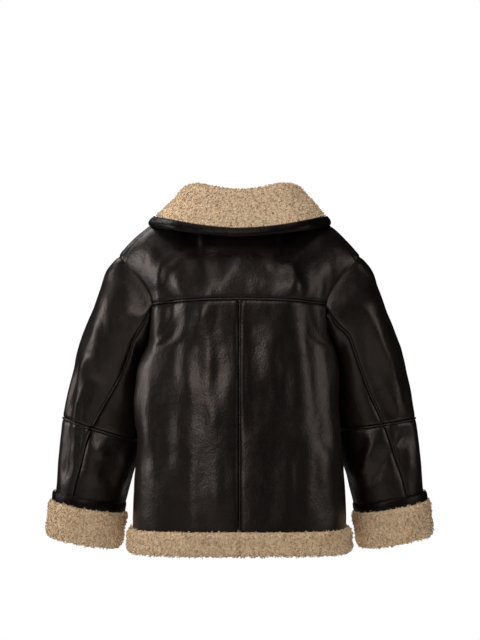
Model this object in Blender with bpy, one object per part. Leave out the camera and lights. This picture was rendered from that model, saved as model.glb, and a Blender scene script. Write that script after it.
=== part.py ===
"""A shearling coat, filled out as worn and open inside.

Every shearling piece is a wall: an outer grid of points, the leather, and an inner grid one skin
deeper, the clipped wool. Neighbouring pieces share the points of their seam, and each then draws
back half a seam gap. The coat faces +Y, +X is the wearer's right and +Z is up. The origin is the
middle of the neck opening, at the height where the shoulder seams meet the collar.
"""

import math

import bmesh
import bpy
import numpy as np
from mathutils import Matrix, Vector

SIDES = {"left": -1.0, "right": 1.0}

# ---------------------------------------------------------------- cloth and seams, in metres
SKIN = 0.006
SEAM_GAP = 0.0003
LEAST_MITRE = 0.6
PARTING = (0.33, 0.57, 0.75)
SHARP_ANGLE = math.radians(50)

WELT_HALF = 0.0042
WELT_LIFT = 0.0011
WELT_EDGE = 0.0015
WELT_CROWN = 0.0030
CROWN_SHARE = 0.45
WELT_CLEAR = 0.0062
WELT_AT_ARMHOLE = 0.0030
WELT_AT_YOKE = 0.0040
WELT_AT_HEM = 0.0085

# ---------------------------------------------------------------- how finely the cloth is divided
FINE_COLUMNS = 400
HALF_COLUMNS = 10
NECK_COLUMNS = 4
SKIRT_ROWS = 10
YOKE_ROWS = 6
BACK_ARM_ROWS = 8
CHEST_ROWS = 7
FRONT_TOP_ROWS = 7
AROUND_SLEEVE = YOKE_ROWS + BACK_ARM_ROWS + CHEST_ROWS + FRONT_TOP_ROWS
UPPER_SLEEVE_ROWS = 10
LOWER_SLEEVE_ROWS = 7
BACK_SEAM_COLUMN = 7
FRONT_SEAM_COLUMN = 19

# ---------------------------------------------------------------- body
# height, half width, depth of the back, depth of the front
BODY = (
    (-0.650, 0.1990, 0.139, 0.140),
    (-0.600, 0.1985, 0.139, 0.140),
    (-0.500, 0.1950, 0.138, 0.141),
    (-0.440, 0.1900, 0.137, 0.142),
    (-0.380, 0.1850, 0.136, 0.142),
    (-0.317, 0.1790, 0.135, 0.140),
    (-0.265, 0.1720, 0.134, 0.135),
)
BACK_ROUNDNESS = 2.6
FRONT_ROUNDNESS = 2.15
SECTION_ASPECT = 1.35
SKIRT_CENTRE = -0.594
SKIRT_SIDE = -0.603
ARMPIT = -0.265
ZIP_HALF = 0.0068

# the yoke seam and the chest row, where each crosses the middle of the coat: depth, height
YOKE_MIDDLE = (-0.1365, -0.1765)
CHEST_MIDDLE = (0.121, -0.176)

# right half of each edge: sideways, forwards, up
BACK_ARMHOLE = (
    (0.2190, -0.030, -0.1030),
    (0.2030, -0.039, -0.1180),
    (0.1865, -0.049, -0.1370),
    (0.1725, -0.058, -0.1560),
    (0.1635, -0.065, -0.1740),
    (0.1605, -0.068, -0.1860),
)
UNDER_BACK_ARMHOLE = (
    (0.1605, -0.068, -0.1860),
    (0.1615, -0.064, -0.2080),
    (0.1650, -0.050, -0.2350),
    (0.1690, -0.026, -0.2560),
    (0.1720, 0.000, -0.2650),
)
UNDER_FRONT_ARMHOLE = (
    (0.1720, 0.000, -0.2650),
    (0.1720, 0.028, -0.2570),
    (0.1710, 0.052, -0.2350),
    (0.1730, 0.066, -0.2050),
    (0.1790, 0.069, -0.1800),
)
FRONT_ARMHOLE = (
    (0.1790, 0.069, -0.1800),
    (0.1920, 0.061, -0.1500),
    (0.2080, 0.043, -0.1230),
    (0.2230, 0.018, -0.1020),
    (0.2260, -0.008, -0.0960),
    (0.2190, -0.030, -0.1030),
)
BACK_NECK = (
    (0.0000, -0.0820, -0.0180),
    (0.0300, -0.0780, -0.0150),
    (0.0570, -0.0620, -0.0080),
    (0.0740, -0.0400, -0.0020),
    (0.0790, -0.0200, 0.0000),
)
FRONT_NECK = (
    (ZIP_HALF, 0.0820, -0.0870),
    (0.0330, 0.0760, -0.0720),
    (0.0600, 0.0520, -0.0410),
    (0.0770, 0.0140, -0.0090),
    (0.0790, -0.0200, 0.0000),
)
SHOULDER = (
    (0.0790, -0.0200, 0.0000),
    (0.1300, -0.0265, -0.0190),
    (0.1730, -0.0300, -0.0480),
    (0.2000, -0.0310, -0.0770),
    (0.2190, -0.0300, -0.1030),
)

# how the cloth leaves the row below and arrives at the neck and the shoulder seam
YOKE_RISE = 0.165
CHEST_RISE = 0.175
LEAVING = (0.0, 0.0, 1.0)
YOKE_ARRIVES_NECK = (0.0, 0.35, 0.94)
YOKE_ARRIVES_SHOULDER = (-0.12, 0.95, 0.42)
CHEST_ARRIVES_NECK = (0.0, -0.45, 0.89)
CHEST_ARRIVES_SHOULDER = (-0.12, -0.95, -0.36)

# folds of the body: sideways at the top and at the bottom, top, bottom, half width, height
BACK_FOLDS = (
    (-0.150, -0.172, -0.205, -0.420, 0.016, 0.0045),
    (-0.122, -0.132, -0.185, -0.470, 0.021, -0.0085),
    (-0.058, -0.038, -0.200, -0.540, 0.024, 0.0050),
    (-0.095, -0.070, -0.420, -0.720, 0.018, 0.0035),
    (0.024, 0.030, -0.230, -0.400, 0.018, -0.0045),
    (0.088, 0.100, -0.150, -0.400, 0.028, 0.0060),
    (0.060, 0.052, -0.330, -0.540, 0.020, -0.0035),
    (0.141, 0.152, -0.210, -0.430, 0.015, -0.0055),
    (-0.080, -0.062, -0.060, -0.150, 0.024, 0.0040),
    (0.070, 0.100, -0.085, -0.150, 0.018, 0.0045),
    (-0.118, -0.136, -0.080, -0.170, 0.018, -0.0050),
    (0.125, 0.136, -0.085, -0.170, 0.016, -0.0050),
)
FRONT_FOLDS = (
    (-0.120, -0.105, -0.200, -0.460, 0.024, -0.0070),
    (0.112, 0.122, -0.190, -0.430, 0.024, -0.0065),
    (-0.070, -0.082, -0.290, -0.720, 0.026, 0.0050),
    (0.066, 0.060, -0.260, -0.540, 0.026, 0.0050),
    (-0.150, -0.160, -0.330, -0.540, 0.018, 0.0045),
    (0.148, 0.170, -0.350, -0.720, 0.018, 0.0040),
)
FOLD_END = 0.045
# the fuller left side, under the arm: amount, top, bottom, depth, half width
SIDE_FULLNESS = {
    "left": (0.0130, -0.306, -0.375, -0.042, 0.034),
    "right": (0.0090, -0.285, -0.310, -0.042, 0.034),
}
SIDE_FADE = 0.055
SIDE_REACH = 0.16
FOLD_FACING = 0.06
FOLD_SIDEWAYS = 0.45

# ---------------------------------------------------------------- sleeve, right one
# place along the sleeve, outer edge x and z, inner edge x and z, middle y, half depth,
# place round it of the back seam (left sleeve, right sleeve) and of the front seam
SLEEVE = (
    (0.14, 0.2690, -0.178, 0.1800, -0.293, 0.018, 0.072, 0.345, 0.315, 0.660),
    (0.28, 0.3050, -0.268, 0.1800, -0.340, 0.042, 0.071, 0.309, 0.290, 0.650),
    (0.38, 0.3165, -0.313, 0.1785, -0.374, 0.054, 0.069, 0.274, 0.267, 0.645),
    (0.46, 0.3275, -0.357, 0.1795, -0.404, 0.061, 0.067, 0.244, 0.246, 0.640),
    (0.54, 0.3360, -0.401, 0.1830, -0.436, 0.066, 0.066, 0.212, 0.226, 0.640),
    (0.64, 0.3425, -0.451, 0.1925, -0.476, 0.070, 0.065, 0.198, 0.203, 0.640),
    (0.74, 0.3475, -0.498, 0.2070, -0.521, 0.073, 0.063, 0.186, 0.184, 0.640),
    (0.83, 0.3515, -0.540, 0.2175, -0.563, 0.076, 0.061, 0.176, 0.174, 0.640),
    (1.00, 0.3590, -0.626, 0.2345, -0.648, 0.080, 0.060, 0.168, 0.168, 0.640),
)
FIRST_SECTION = SLEEVE[0][0]
CUFF_TOP = SLEEVE[-2][0]
ELBOW = 0.54
SLEEVE_AXIS = (0.45, 0.08, -0.89)
CAP_SPREAD = 0.27
ELBOW_SKEW = {"left": -0.009, "right": 0.013}
ELBOW_SKEW_REACH = 0.12

# folds of each sleeve: place along and round at the start, the same at the end, half width, height
SLEEVE_FOLDS = {
    "right": (
        (0.10, 0.16, 0.50, 0.16, 0.040, 0.0055),
        (0.12, 0.25, 0.48, 0.22, 0.035, -0.0055),
        (0.60, 0.13, 0.70, 0.22, 0.045, -0.0035),
        (0.60, 0.26, 0.72, 0.36, 0.050, 0.0050),
        (0.57, 0.08, 0.78, 0.12, 0.035, 0.0040),
        (0.45, 0.62, 0.62, 0.80, 0.050, -0.0060),
        (0.50, 0.72, 0.70, 0.92, 0.045, 0.0050),
    ),
    "left": (
        (0.14, 0.12, 0.30, 0.20, 0.040, 0.0050),
        (0.30, 0.12, 0.52, 0.15, 0.035, 0.0055),
        (0.34, 0.07, 0.80, 0.12, 0.030, -0.0065),
        (0.60, 0.26, 0.74, 0.25, 0.050, 0.0050),
        (0.62, 0.40, 0.72, 0.40, 0.045, 0.0045),
        (0.62, 0.33, 0.74, 0.32, 0.035, -0.0040),
        (0.44, 0.64, 0.60, 0.84, 0.050, -0.0060),
        (0.52, 0.74, 0.72, 0.94, 0.045, 0.0050),
    ),
}
SLEEVE_FOLD_END = 0.07
FOLDS_STOP = 0.72
FOLDS_FADE = 0.060

# ---------------------------------------------------------------- turned cuff and hem band
# out from the leather, and up from the fold at the bottom of the sleeve
CUFF_LENGTH = 0.094
SLEEVE_STOP = 0.0125
CUFF_SHAPE = (
    (-0.0080, 0.0117),
    (-0.0070, 0.0030),
    (0.0000, -0.0014),
    (0.0106, -0.0012),
    (0.0128, 0.0022),
    (0.0130, 0.0380),
    (0.0120, 0.0690),
    (0.0080, 0.0738),
    (0.0012, 0.0715),
    (0.0012, 0.0400),
    (0.0012, 0.0117),
)
CUFF_BINDING_SHAPE = (
    (0.0012, 0.0748),
    (0.0048, 0.0748),
    (0.0072, 0.0800),
    (0.0070, 0.0885),
    (0.0045, 0.0935),
    (0.0012, 0.0945),
)
# out from the leather, and up from its lower edge
HEM_SHAPE = (
    (-0.0085, -0.0022),
    (0.0006, -0.0012),
    (0.0015, 0.0036),
    (0.0060, 0.0048),
    (0.0112, -0.0010),
    (0.0124, -0.0200),
    (0.0118, -0.0385),
    (0.0060, -0.0440),
    (-0.0050, -0.0440),
    (-0.0110, -0.0330),
    (-0.0115, -0.0120),
)

# ---------------------------------------------------------------- collar, right half
# place round it (0 at the back, 1 at the front end), then, in millimetres, the points of its
# neckline, fold, middle and outer edge
COLLAR = (
    (0.00, (0, -82, -18), (0, -99, 17), (0, -127, -22), (0, -144, -68)),
    (0.20, (36, -76, -13), (41, -92, 22), (59, -119, -17), (73, -137, -62)),
    (0.38, (66, -52, -4), (73, -63, 30), (100, -86, -5), (131, -105, -49)),
    (0.50, (79, -20, 0), (85, -22, 31), (116, -28, 3), (167, -37, -36)),
    (0.62, (78, 8, -6), (84, 11, 24), (115, 18, -2), (161, 28, -32.5)),
    (0.78, (64, 46, -35), (70, 59, -10), (101, 83, -36), (136, 104, -78)),
    (0.90, (38, 73, -68), (42, 88, -48), (68, 117, -82), (98, 137, -126)),
    (1.00, (11.5, 81, -83), (13.5, 97, -73), (37, 126, -112), (64, 143, -157)),
)
# how much further out the right side's collar lies, at its fold and middle: turn, sideways, up
COLLAR_RIGHT = (
    (0.0, 0.0, 0.0),
    (0.20, 1.0, 0.0),
    (0.38, 6.0, 1.0),
    (0.50, 11.0, 3.0),
    (0.62, 8.0, 2.0),
    (0.78, 2.0, 0.0),
    (1.0, 0.0, 0.0),
)
MM = 0.001
# the path's share at the neckline, fold, middle and edge, and how strongly it runs through them
COLLAR_KNOTS = (0.0, 0.30, 0.62, 1.0)
STAND = 1.56
FOLD_TURN = 1.5
FALL = 0.62
FALL_END = 0.9
NORMAL_STEP = 0.01
COLLAR_THICK = 0.0115
COLLAR_FOOT = 0.0085
FOOT_PATH = 0.12
COLLAR_COLUMNS = 26
COLLAR_PATH = (0.00, 0.10, 0.20, 0.27, 0.34, 0.41, 0.50, 0.66, 0.83, 1.00)
COLLAR_LIFT = 0.0014
# share of the collar's path and of its turn that the binding takes, and the gap beside it
BINDING_DEEP = 0.135
BINDING_TURN = 0.065
BINDING_GAP = 0.0022
BINDING_THICK = 0.0112
# across the strip from its inner edge: place, share of the thickness
BINDING_SHAPE = ((0.0, 0.80), (0.14, 1.0), (0.50, 1.05), (0.82, 0.85), (1.0, 0.35))

# ---------------------------------------------------------------- zip
TAPE_RECESS = 0.0016
TAPE_THICK = 0.0014
ZIP_TOP_TRIM = 0.004
ZIP_BELOW_LEATHER = 0.0400
SLIDER_DROP = 0.014
SLIDER_SIZE = (0.0092, 0.0040, 0.0130)
SLIDER_EAR = (0.0014, 0.0050, 0.0048)
SLIDER_EAR_APART = 0.0050
EAR_ROOT = 0.0006
PIVOT_OUT = 0.0022
PIVOT_UP = 0.0030
PIVOT_RADIUS = 0.0008
EYE_RADIUS = 0.0019
PIVOT_PLAY = 0.0003
PULL_SIZE = (0.0070, 0.0014, 0.0280)
PULL_NECK = 0.0028

# ---------------------------------------------------------------- colours
LEATHER = ("dark leather", (0.013, 0.0095, 0.0088), 0.42, 0.0)
WOOL = ("clipped wool", (0.47, 0.34, 0.225), 0.95, 0.0)
TAPE = ("zip tape", (0.012, 0.010, 0.010), 0.85, 0.0)
METAL = ("zip metal", (0.34, 0.31, 0.27), 0.32, 1.0)


# ================================================================ curves and grids
def spline(knots, values, at):
    """The smooth curve through the values at the knots, read at the given places."""
    knots, values = np.asarray(knots, float), np.asarray(values, float)
    at = np.clip(np.asarray(at, float), knots[0], knots[-1])
    slope = np.gradient(values, knots, axis=0)
    i = np.clip(np.searchsorted(knots, at, side="right") - 1, 0, len(knots) - 2)
    span = knots[i + 1] - knots[i]
    t = (at - knots[i]) / span
    if values.ndim > 1:
        t, span = t[..., None], span[..., None]
    rise = t * t * (3 - 2 * t)
    return (
        (1 - rise) * values[i]
        + rise * values[i + 1]
        + span * ((t * (1 - t) ** 2) * slope[i] - (t * t * (1 - t)) * slope[i + 1])
    )


def along(points, steps):
    """Points evenly spaced along the smooth curve through the given ones."""
    points = np.asarray(points, float)
    lengths = np.r_[0, np.cumsum(np.linalg.norm(np.diff(points, axis=0), axis=1))]
    return spline(lengths / lengths[-1], points, np.linspace(0, 1, steps + 1))


def unit(vectors):
    return vectors / np.maximum(np.linalg.norm(vectors, axis=-1, keepdims=True), 1e-12)


def hermite(start, end, leave, arrive, t):
    """Rows from start to end, leaving and arriving in the given directions."""
    t = np.asarray(t, float)[:, None, None]
    rise = t * t * (3 - 2 * t)
    return (1 - rise) * start + rise * end + (t * (1 - t) ** 2) * leave - (t * t * (1 - t)) * arrive


def quarter(roundness, columns):
    """A quarter of a rounded body section, evenly divided: share of the width and of the depth."""
    angle = np.linspace(0, math.pi / 2, 400)
    wide = np.sin(angle) ** (2 / roundness)
    deep = 1 - np.cos(angle) ** (2 / roundness)
    length = np.r_[0, np.cumsum(np.hypot(SECTION_ASPECT * np.diff(wide), np.diff(deep)))]
    even = np.linspace(0, length[-1], columns + 1)
    return np.interp(even, length, wide), np.interp(even, length, deep)


def grid_normals(grid):
    """The outward direction at each point of a grid whose rows rise and whose columns run round."""
    return unit(np.cross(np.gradient(grid, axis=1), np.gradient(grid, axis=0)))


# ================================================================ folds of the body
def window(place, start, end, fade):
    """1 between start and end, falling smoothly to 0 within the fade outside them."""
    low, high = min(start, end), max(start, end)
    outside = np.maximum(np.maximum(low - place, place - high), 0)
    return np.where(outside < fade, 0.5 + 0.5 * np.cos(math.pi * outside / fade), 0.0)


def drape(points):
    """The body with its long soft folds: each moves the cloth out or in, round the body's axis."""
    points = np.array(points, float)
    x, y, z = points[..., 0], points[..., 1], points[..., 2]
    lift = np.zeros_like(x)
    for folds, facing in ((BACK_FOLDS, -1.0), (FRONT_FOLDS, 1.0)):
        on_side = np.clip(facing * y / FOLD_FACING, 0, 1)
        for x_top, x_bottom, top, bottom, half, height in folds:
            share = np.clip((top - z) / (top - bottom), 0, 1)
            away = (x - x_top - share * (x_bottom - x_top)) / half
            lift += on_side * height * np.exp(-away * away) * window(z, bottom, top, FOLD_END)
    out = unit(np.stack([x * FOLD_SIDEWAYS, y, np.zeros_like(y)], axis=-1))
    points = points + lift[..., None] * out
    for side, (amount, top, bottom, depth, half) in SIDE_FULLNESS.items():
        share = np.clip(SIDES[side] * x / SIDE_REACH, 0, 1) ** 4
        share = share * np.exp(-(((y - depth) / half) ** 2)) * window(z, bottom, top, SIDE_FADE)
        points[..., 0] += SIDES[side] * amount * share
    return points


# ================================================================ body pieces, right half
def body_size(height, column):
    table = np.array(BODY)
    return spline(table[:, 0], table[:, column], height)


def skirt_heights(columns_share):
    """Heights of the rows from the leather's lower edge to the armpit, for each column."""
    low = SKIRT_CENTRE + (SKIRT_SIDE - SKIRT_CENTRE) * columns_share**2
    t = np.linspace(0, 1, SKIRT_ROWS + 1)[:, None]
    return low[None, :] + t * (ARMPIT - low[None, :])


def skirt_rows(front, start_x):
    """Rows of one half from the lower edge to the armpit, from the middle to the side seam."""
    wide, deep = quarter(FRONT_ROUNDNESS if front else BACK_ROUNDNESS, HALF_COLUMNS)
    z = skirt_heights(np.linspace(0, 1, HALF_COLUMNS + 1))
    half, depth = body_size(z, 1), body_size(z, 3 if front else 2)
    x = start_x + (half - start_x) * wide
    y = depth * (1 - deep) * (1 if front else -1)
    return np.stack([x, y, z], axis=-1)


def arm_rows(front, start_x, edge, middle):
    """Rows between the armpit and the yoke seam or the chest row, cut off at the armhole."""
    wide, deep = quarter(FRONT_ROUNDNESS if front else BACK_ROUNDNESS, FINE_COLUMNS)
    depth = body_size(ARMPIT, 3 if front else 2) * (1 if front else -1)
    share = np.linspace(0, 1, len(edge))[:, None]
    middle_y = depth + share * (middle[0] - depth)
    middle_z = ARMPIT + share * (middle[1] - ARMPIT)
    last = np.interp(1 - edge[:, None, 1] / middle_y, deep, np.linspace(0, 1, FINE_COLUMNS + 1))
    columns = np.linspace(0, 1, HALF_COLUMNS + 1)
    fine = np.linspace(0, 1, FINE_COLUMNS + 1)
    reach = (edge[:, None, 0] - start_x) / np.interp(last, fine, wide)
    x = start_x + reach * np.interp(last * columns, fine, wide)
    y = middle_y * (1 - np.interp(last * columns, fine, deep))
    z = middle_z + (edge[:, None, 2] - middle_z) * columns**2
    return np.stack([x, y, z], axis=-1)


def top_rows(start, end, edge, rise, arrive_neck, arrive_shoulder):
    """Rows from the yoke seam or the chest row over the shoulder, ending on the armhole."""
    to_shoulder = np.clip((np.arange(HALF_COLUMNS + 1) - NECK_COLUMNS + 2) / 4, 0, 1)[:, None]
    arrive = rise * unit((1 - to_shoulder) * arrive_neck + to_shoulder * arrive_shoulder)
    leave = rise * np.broadcast_to(LEAVING, start.shape)
    rows = hermite(start, end, leave, arrive, np.linspace(0, 1, len(edge)))
    pull = np.linspace(0, 1, HALF_COLUMNS + 1)[None, :, None] ** 4
    return rows + pull * (edge[:, None, :] - rows[:, -1:, :])


def back_armhole():
    upper = along(BACK_ARMHOLE, YOKE_ROWS)[::-1]
    lower = along(UNDER_BACK_ARMHOLE, BACK_ARM_ROWS)[::-1]
    return lower, upper


def front_armhole():
    return along(UNDER_FRONT_ARMHOLE, CHEST_ROWS), along(FRONT_ARMHOLE, FRONT_TOP_ROWS)


def top_edge(neck):
    return np.vstack([along(neck, NECK_COLUMNS), along(SHOULDER, HALF_COLUMNS - NECK_COLUMNS)[1:]])


def back_half():
    """Back panel and yoke of the right half."""
    lower, upper = back_armhole()
    arm = arm_rows(False, 0.0, lower, YOKE_MIDDLE)
    panel = np.vstack([skirt_rows(False, 0.0), arm[1:]])
    yoke = top_rows(
        arm[-1], top_edge(BACK_NECK), upper, YOKE_RISE, YOKE_ARRIVES_NECK, YOKE_ARRIVES_SHOULDER
    )
    return panel, yoke


def front_half():
    lower, upper = front_armhole()
    arm = arm_rows(True, ZIP_HALF, lower, CHEST_MIDDLE)
    top = top_rows(
        arm[-1], top_edge(FRONT_NECK), upper, CHEST_RISE, CHEST_ARRIVES_NECK, CHEST_ARRIVES_SHOULDER
    )
    return np.vstack([skirt_rows(True, ZIP_HALF), arm[1:], top[1:]])


def on_side(grid, side):
    """The right half's grid on the given side, before the folds, which differ left and right."""
    return grid * np.array([SIDES[side], 1.0, 1.0])


# ================================================================ sleeves
def armhole_ring(side):
    """The armhole from the shoulder seam down the back, under the arm and up the front."""
    back_low, back_high = back_armhole()
    front_low, front_high = front_armhole()
    ring = np.vstack([back_high[::-1], back_low[::-1][1:], front_low[1:], front_high[1:-1]])
    return drape(on_side(ring, side))


def sleeve_sections(place, side):
    """Middle, outward and forward half axes of the sleeve at places along it."""
    table = np.array(SLEEVE)
    _, out_x, out_z, in_x, in_z, mid_y, half_y = spline(table[:, 0], table[:, :7], place).T
    skew = ELBOW_SKEW[side] * window(place, ELBOW, ELBOW, ELBOW_SKEW_REACH)
    outer = np.stack([out_x, mid_y, out_z], axis=-1)
    inner = np.stack([in_x, mid_y, in_z + skew], axis=-1)
    return (outer + inner) / 2, (outer - inner) / 2, half_y


def around(place, side):
    """Share of the way round for each column, with the two seams on columns of their own."""
    table = np.array(SLEEVE)
    columns = [0, BACK_SEAM_COLUMN, FRONT_SEAM_COLUMN, AROUND_SLEEVE]
    left_back, right_back, front = spline(table[:, 0], table[:, 7:], place)
    back = left_back if side == "left" else right_back
    return np.interp(np.arange(AROUND_SLEEVE), columns, [0, back, front, 1])


def oval(middle, out_axis, half_y, turn):
    angle = 2 * math.pi * turn[:, None]
    return middle + np.cos(angle) * out_axis - np.sin(angle) * half_y * np.array([0, 1.0, 0])


def sleeve_fold(place, turn, side):
    lift = np.zeros_like(turn)
    for start, start_turn, end, end_turn, half, height in SLEEVE_FOLDS[side]:
        share = np.clip((place - start) / (end - start), 0, 1)
        away = (turn - start_turn - share * (end_turn - start_turn) + 0.5) % 1 - 0.5
        lift += height * np.exp(-((away / half) ** 2)) * window(place, start, end, SLEEVE_FOLD_END)
    return lift * window(place, 0, FOLDS_STOP, FOLDS_FADE)


def sleeve_point_ring(place, side, ring):
    """The sleeve's outer points at one place along it, on the right-hand form."""
    turn = around(max(place, FIRST_SECTION), side)
    middle, out_axis, half_y = sleeve_sections(np.array([max(place, FIRST_SECTION)]), side)
    here = oval(middle[0], out_axis[0], half_y[0], turn)
    radial = unit(here - middle[0])
    if place < FIRST_SECTION:
        t = place / FIRST_SECTION
        spread = CAP_SPREAD * (1 + np.cos(2 * math.pi * turn))[:, None]
        step = np.array([FIRST_SECTION + 0.01])
        later_middle, later_out, later_half = sleeve_sections(step, side)
        later = oval(later_middle[0], later_out[0], later_half[0], turn)
        span = np.linalg.norm(here - ring, axis=1)[:, None]
        leave = span * unit(np.array(SLEEVE_AXIS) + spread * radial)
        here = hermite(ring, here, leave, span * unit(later - here), [t])[0]
    return here + sleeve_fold(place, turn, side)[:, None] * radial


def sleeve_grid(side):
    """The whole sleeve: rows from the armhole to the cuff, columns round it."""
    ring = on_side(armhole_ring(side), side)
    places = np.r_[
        np.linspace(0, ELBOW, UPPER_SLEEVE_ROWS + 1),
        np.linspace(ELBOW, cuff_place(SLEEVE_STOP), LOWER_SLEEVE_ROWS + 1)[1:],
    ]
    return on_side(np.stack([sleeve_point_ring(p, side, ring) for p in places]), side)


def cuff_place(up):
    """Place along the sleeve of a height above the fold at its bottom."""
    return 1 - (1 - CUFF_TOP) * up / CUFF_LENGTH


# ================================================================ solids
def material(look):
    name, colour, roughness, metallic = look
    found = bpy.data.materials.get(name)
    if found:
        return found
    found = bpy.data.materials.new(name)
    found.use_nodes = True
    shader = found.node_tree.nodes["Principled BSDF"]
    shader.inputs["Base Color"].default_value = (*colour, 1)
    shader.inputs["Roughness"].default_value = roughness
    shader.inputs["Metallic"].default_value = metallic
    found.diffuse_color = (*colour, 1)
    return found


def add_object(name, bm, look, coat):
    bmesh.ops.recalc_face_normals(bm, faces=bm.faces)
    mesh = bpy.data.meshes.new(name)
    bm.to_mesh(mesh)
    bm.free()
    mesh.shade_smooth()
    mesh.set_sharp_from_angle(angle=SHARP_ANGLE)
    mesh.materials.append(material(look))
    made = bpy.data.objects.new(name, mesh)
    coat.objects.link(made)
    return made


def patch(bm, corners):
    """A face of four corners, parted the same way in every piece that has the same corners."""
    corners = list(dict.fromkeys(corners))
    if len(corners) == 4:
        first = max(range(4), key=lambda k: corners[k].co.dot(Vector(PARTING)))
        corners = corners[first:] + corners[:first]
        bm.faces.new((corners[0], corners[2], corners[3]))
        corners = corners[:3]
    bm.faces.new(corners)


def loft(name, sections, look, coat, closed=False):
    """A solid through a run of closed sections. An open run gets flat ends."""
    sections = np.asarray(sections, float)
    runs, size = sections.shape[:2]
    bm = bmesh.new()
    points = [[bm.verts.new(p) for p in section] for section in sections]
    for i in range(runs if closed else runs - 1):
        here, there = points[i], points[(i + 1) % runs]
        for k in range(size):
            patch(bm, (here[k], here[(k + 1) % size], there[(k + 1) % size], there[k]))
    if not closed:
        for end in (points[0], points[-1]):
            for k in range((size - 1) // 2):
                patch(bm, (end[k], end[k + 1], end[size - 2 - k], end[size - 1 - k]))
    return add_object(name, bm, look, coat)


def wall(name, outer, inner, look, coat):
    """A wall between an outer and an inner grid, each row of both being one section."""
    return loft(name, [np.vstack([o, i[::-1]]) for o, i in zip(outer, inner)], look, coat)


# ================================================================ shearling walls
def shared_depths(grids):
    """For each grid, the way from its outer points to its inner ones, the same for all that meet."""
    gathered = {}
    keyed = {}
    for name, grid in grids.items():
        tube = name.startswith("sleeve")
        keyed[name] = [tuple(key) for key in np.round(grid.reshape(-1, 3), 5) + 0.0]
        for key, normal in zip(keyed[name], grid_normals(grid).reshape(-1, 3)):
            gathered.setdefault(key, {}).setdefault(tube, []).append(normal)
    depths = {}
    for name, keys in keyed.items():
        steps = []
        for key in keys:
            middle = np.mean([unit(np.sum(met, axis=0)) for met in gathered[key].values()], axis=0)
            steps.append(-unit(middle) * SKIN / max(np.linalg.norm(middle), LEAST_MITRE))
        depths[name] = np.array(steps).reshape(grids[name].shape)
    return depths


def drawn_back(grid, depth):
    """Outer and inner grids with the edges drawn back half a seam gap, square to the seam's face."""
    rows, columns = grid.shape[:2]
    bottom = [(0, c) for c in range(columns - 1)]
    last = [(r, columns - 1) for r in range(rows - 1)]
    top = [(rows - 1, c) for c in range(columns - 1, 0, -1)]
    first = [(r, 0) for r in range(rows - 1, 0, -1)]
    row, column = np.array(bottom + last + top + first).T
    edge, deep = grid[row, column], depth[row, column]
    side = unit(np.cross(np.roll(edge, -1, axis=0) - edge, np.roll(deep, -1, axis=0) + deep))
    before = np.roll(side, 1, axis=0)
    square = np.maximum(1 + np.sum(side * before, axis=1), 0.5)[:, None]
    outer = np.array(grid)
    outer[row, column] += SEAM_GAP / 2 * (side + before) / square
    return outer, outer + depth


def shearling_grids():
    """Every leather and wool panel by name, as the grid of its outer points."""
    panel, yoke = back_half()
    front = front_half()
    left, right = on_side(yoke, "left")[:, ::-1], on_side(yoke, "right")
    grids = {"back_yoke": drape(np.concatenate([left, right[:, 1:]], axis=1))}
    for side in SIDES:
        back, fore = on_side(panel, side), on_side(front, side)
        if side == "left":
            back = back[:, ::-1]
        else:
            fore = fore[:, ::-1]
        grids[f"back_{side}"] = drape(back)
        grids[f"front_{side}"] = drape(fore)
        grids.update(sleeve_panels(side))
    return grids


def sleeve_panels(side):
    sleeve = sleeve_grid(side)
    under = range(BACK_SEAM_COLUMN, FRONT_SEAM_COLUMN + 1)
    top = range(FRONT_SEAM_COLUMN, AROUND_SLEEVE + BACK_SEAM_COLUMN + 1)
    rows = {"upper": slice(0, UPPER_SLEEVE_ROWS + 1), "lower": slice(UPPER_SLEEVE_ROWS, None)}
    panels = {}
    for part, columns in (("under", under), ("top", top)):
        picked = sleeve[:, [c % AROUND_SLEEVE for c in columns]]
        for level, run in rows.items():
            grid = picked[run][::-1]
            panels[f"sleeve_{side}_{part}_{level}"] = grid if side == "left" else grid[:, ::-1]
    return panels


# ================================================================ welts over the seams
def welt(name, seam, one_side, other_side, out, coat, closed=False):
    """A narrow padded strip sewn over a seam, lying on the panels at each side of it."""
    left = unit(one_side - seam) * WELT_HALF
    right = unit(other_side - seam) * WELT_HALF
    sections = np.stack(
        [
            seam + left + out * WELT_LIFT,
            seam + out * WELT_LIFT,
            seam + right + out * WELT_LIFT,
            seam + right + out * WELT_EDGE,
            seam + right * CROWN_SHARE + out * WELT_CROWN,
            seam + left * CROWN_SHARE + out * WELT_CROWN,
            seam + left + out * WELT_EDGE,
        ],
        axis=1,
    )
    return loft(name, sections, LEATHER, coat, closed)


def shortened(points, start, end):
    """A run of points with its first and last moved in by the given lengths."""
    points = np.array(points)
    points[0] += start * unit(points[1] - points[0])
    points[-1] += end * unit(points[-2] - points[-1])
    return points


def body_welts(grids, coat):
    yoke, left, right = grids["back_yoke"], grids["back_left"], grids["back_right"]
    seam, above = yoke[0], yoke[1]
    below = np.vstack([left[-2], right[-2][1:]])
    out = grid_normals(yoke)[0]
    strips = (shortened(p, WELT_AT_ARMHOLE, WELT_AT_ARMHOLE) for p in (seam, above, below))
    welt("yoke_welt", *strips, out, coat)
    columns = (right[:, 0], right[:, 1], left[:, -2])
    strips = (shortened(p, WELT_AT_HEM, WELT_CLEAR) for p in columns)
    welt("centre_back_welt", *strips, grid_normals(right)[:, 0], coat)


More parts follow.
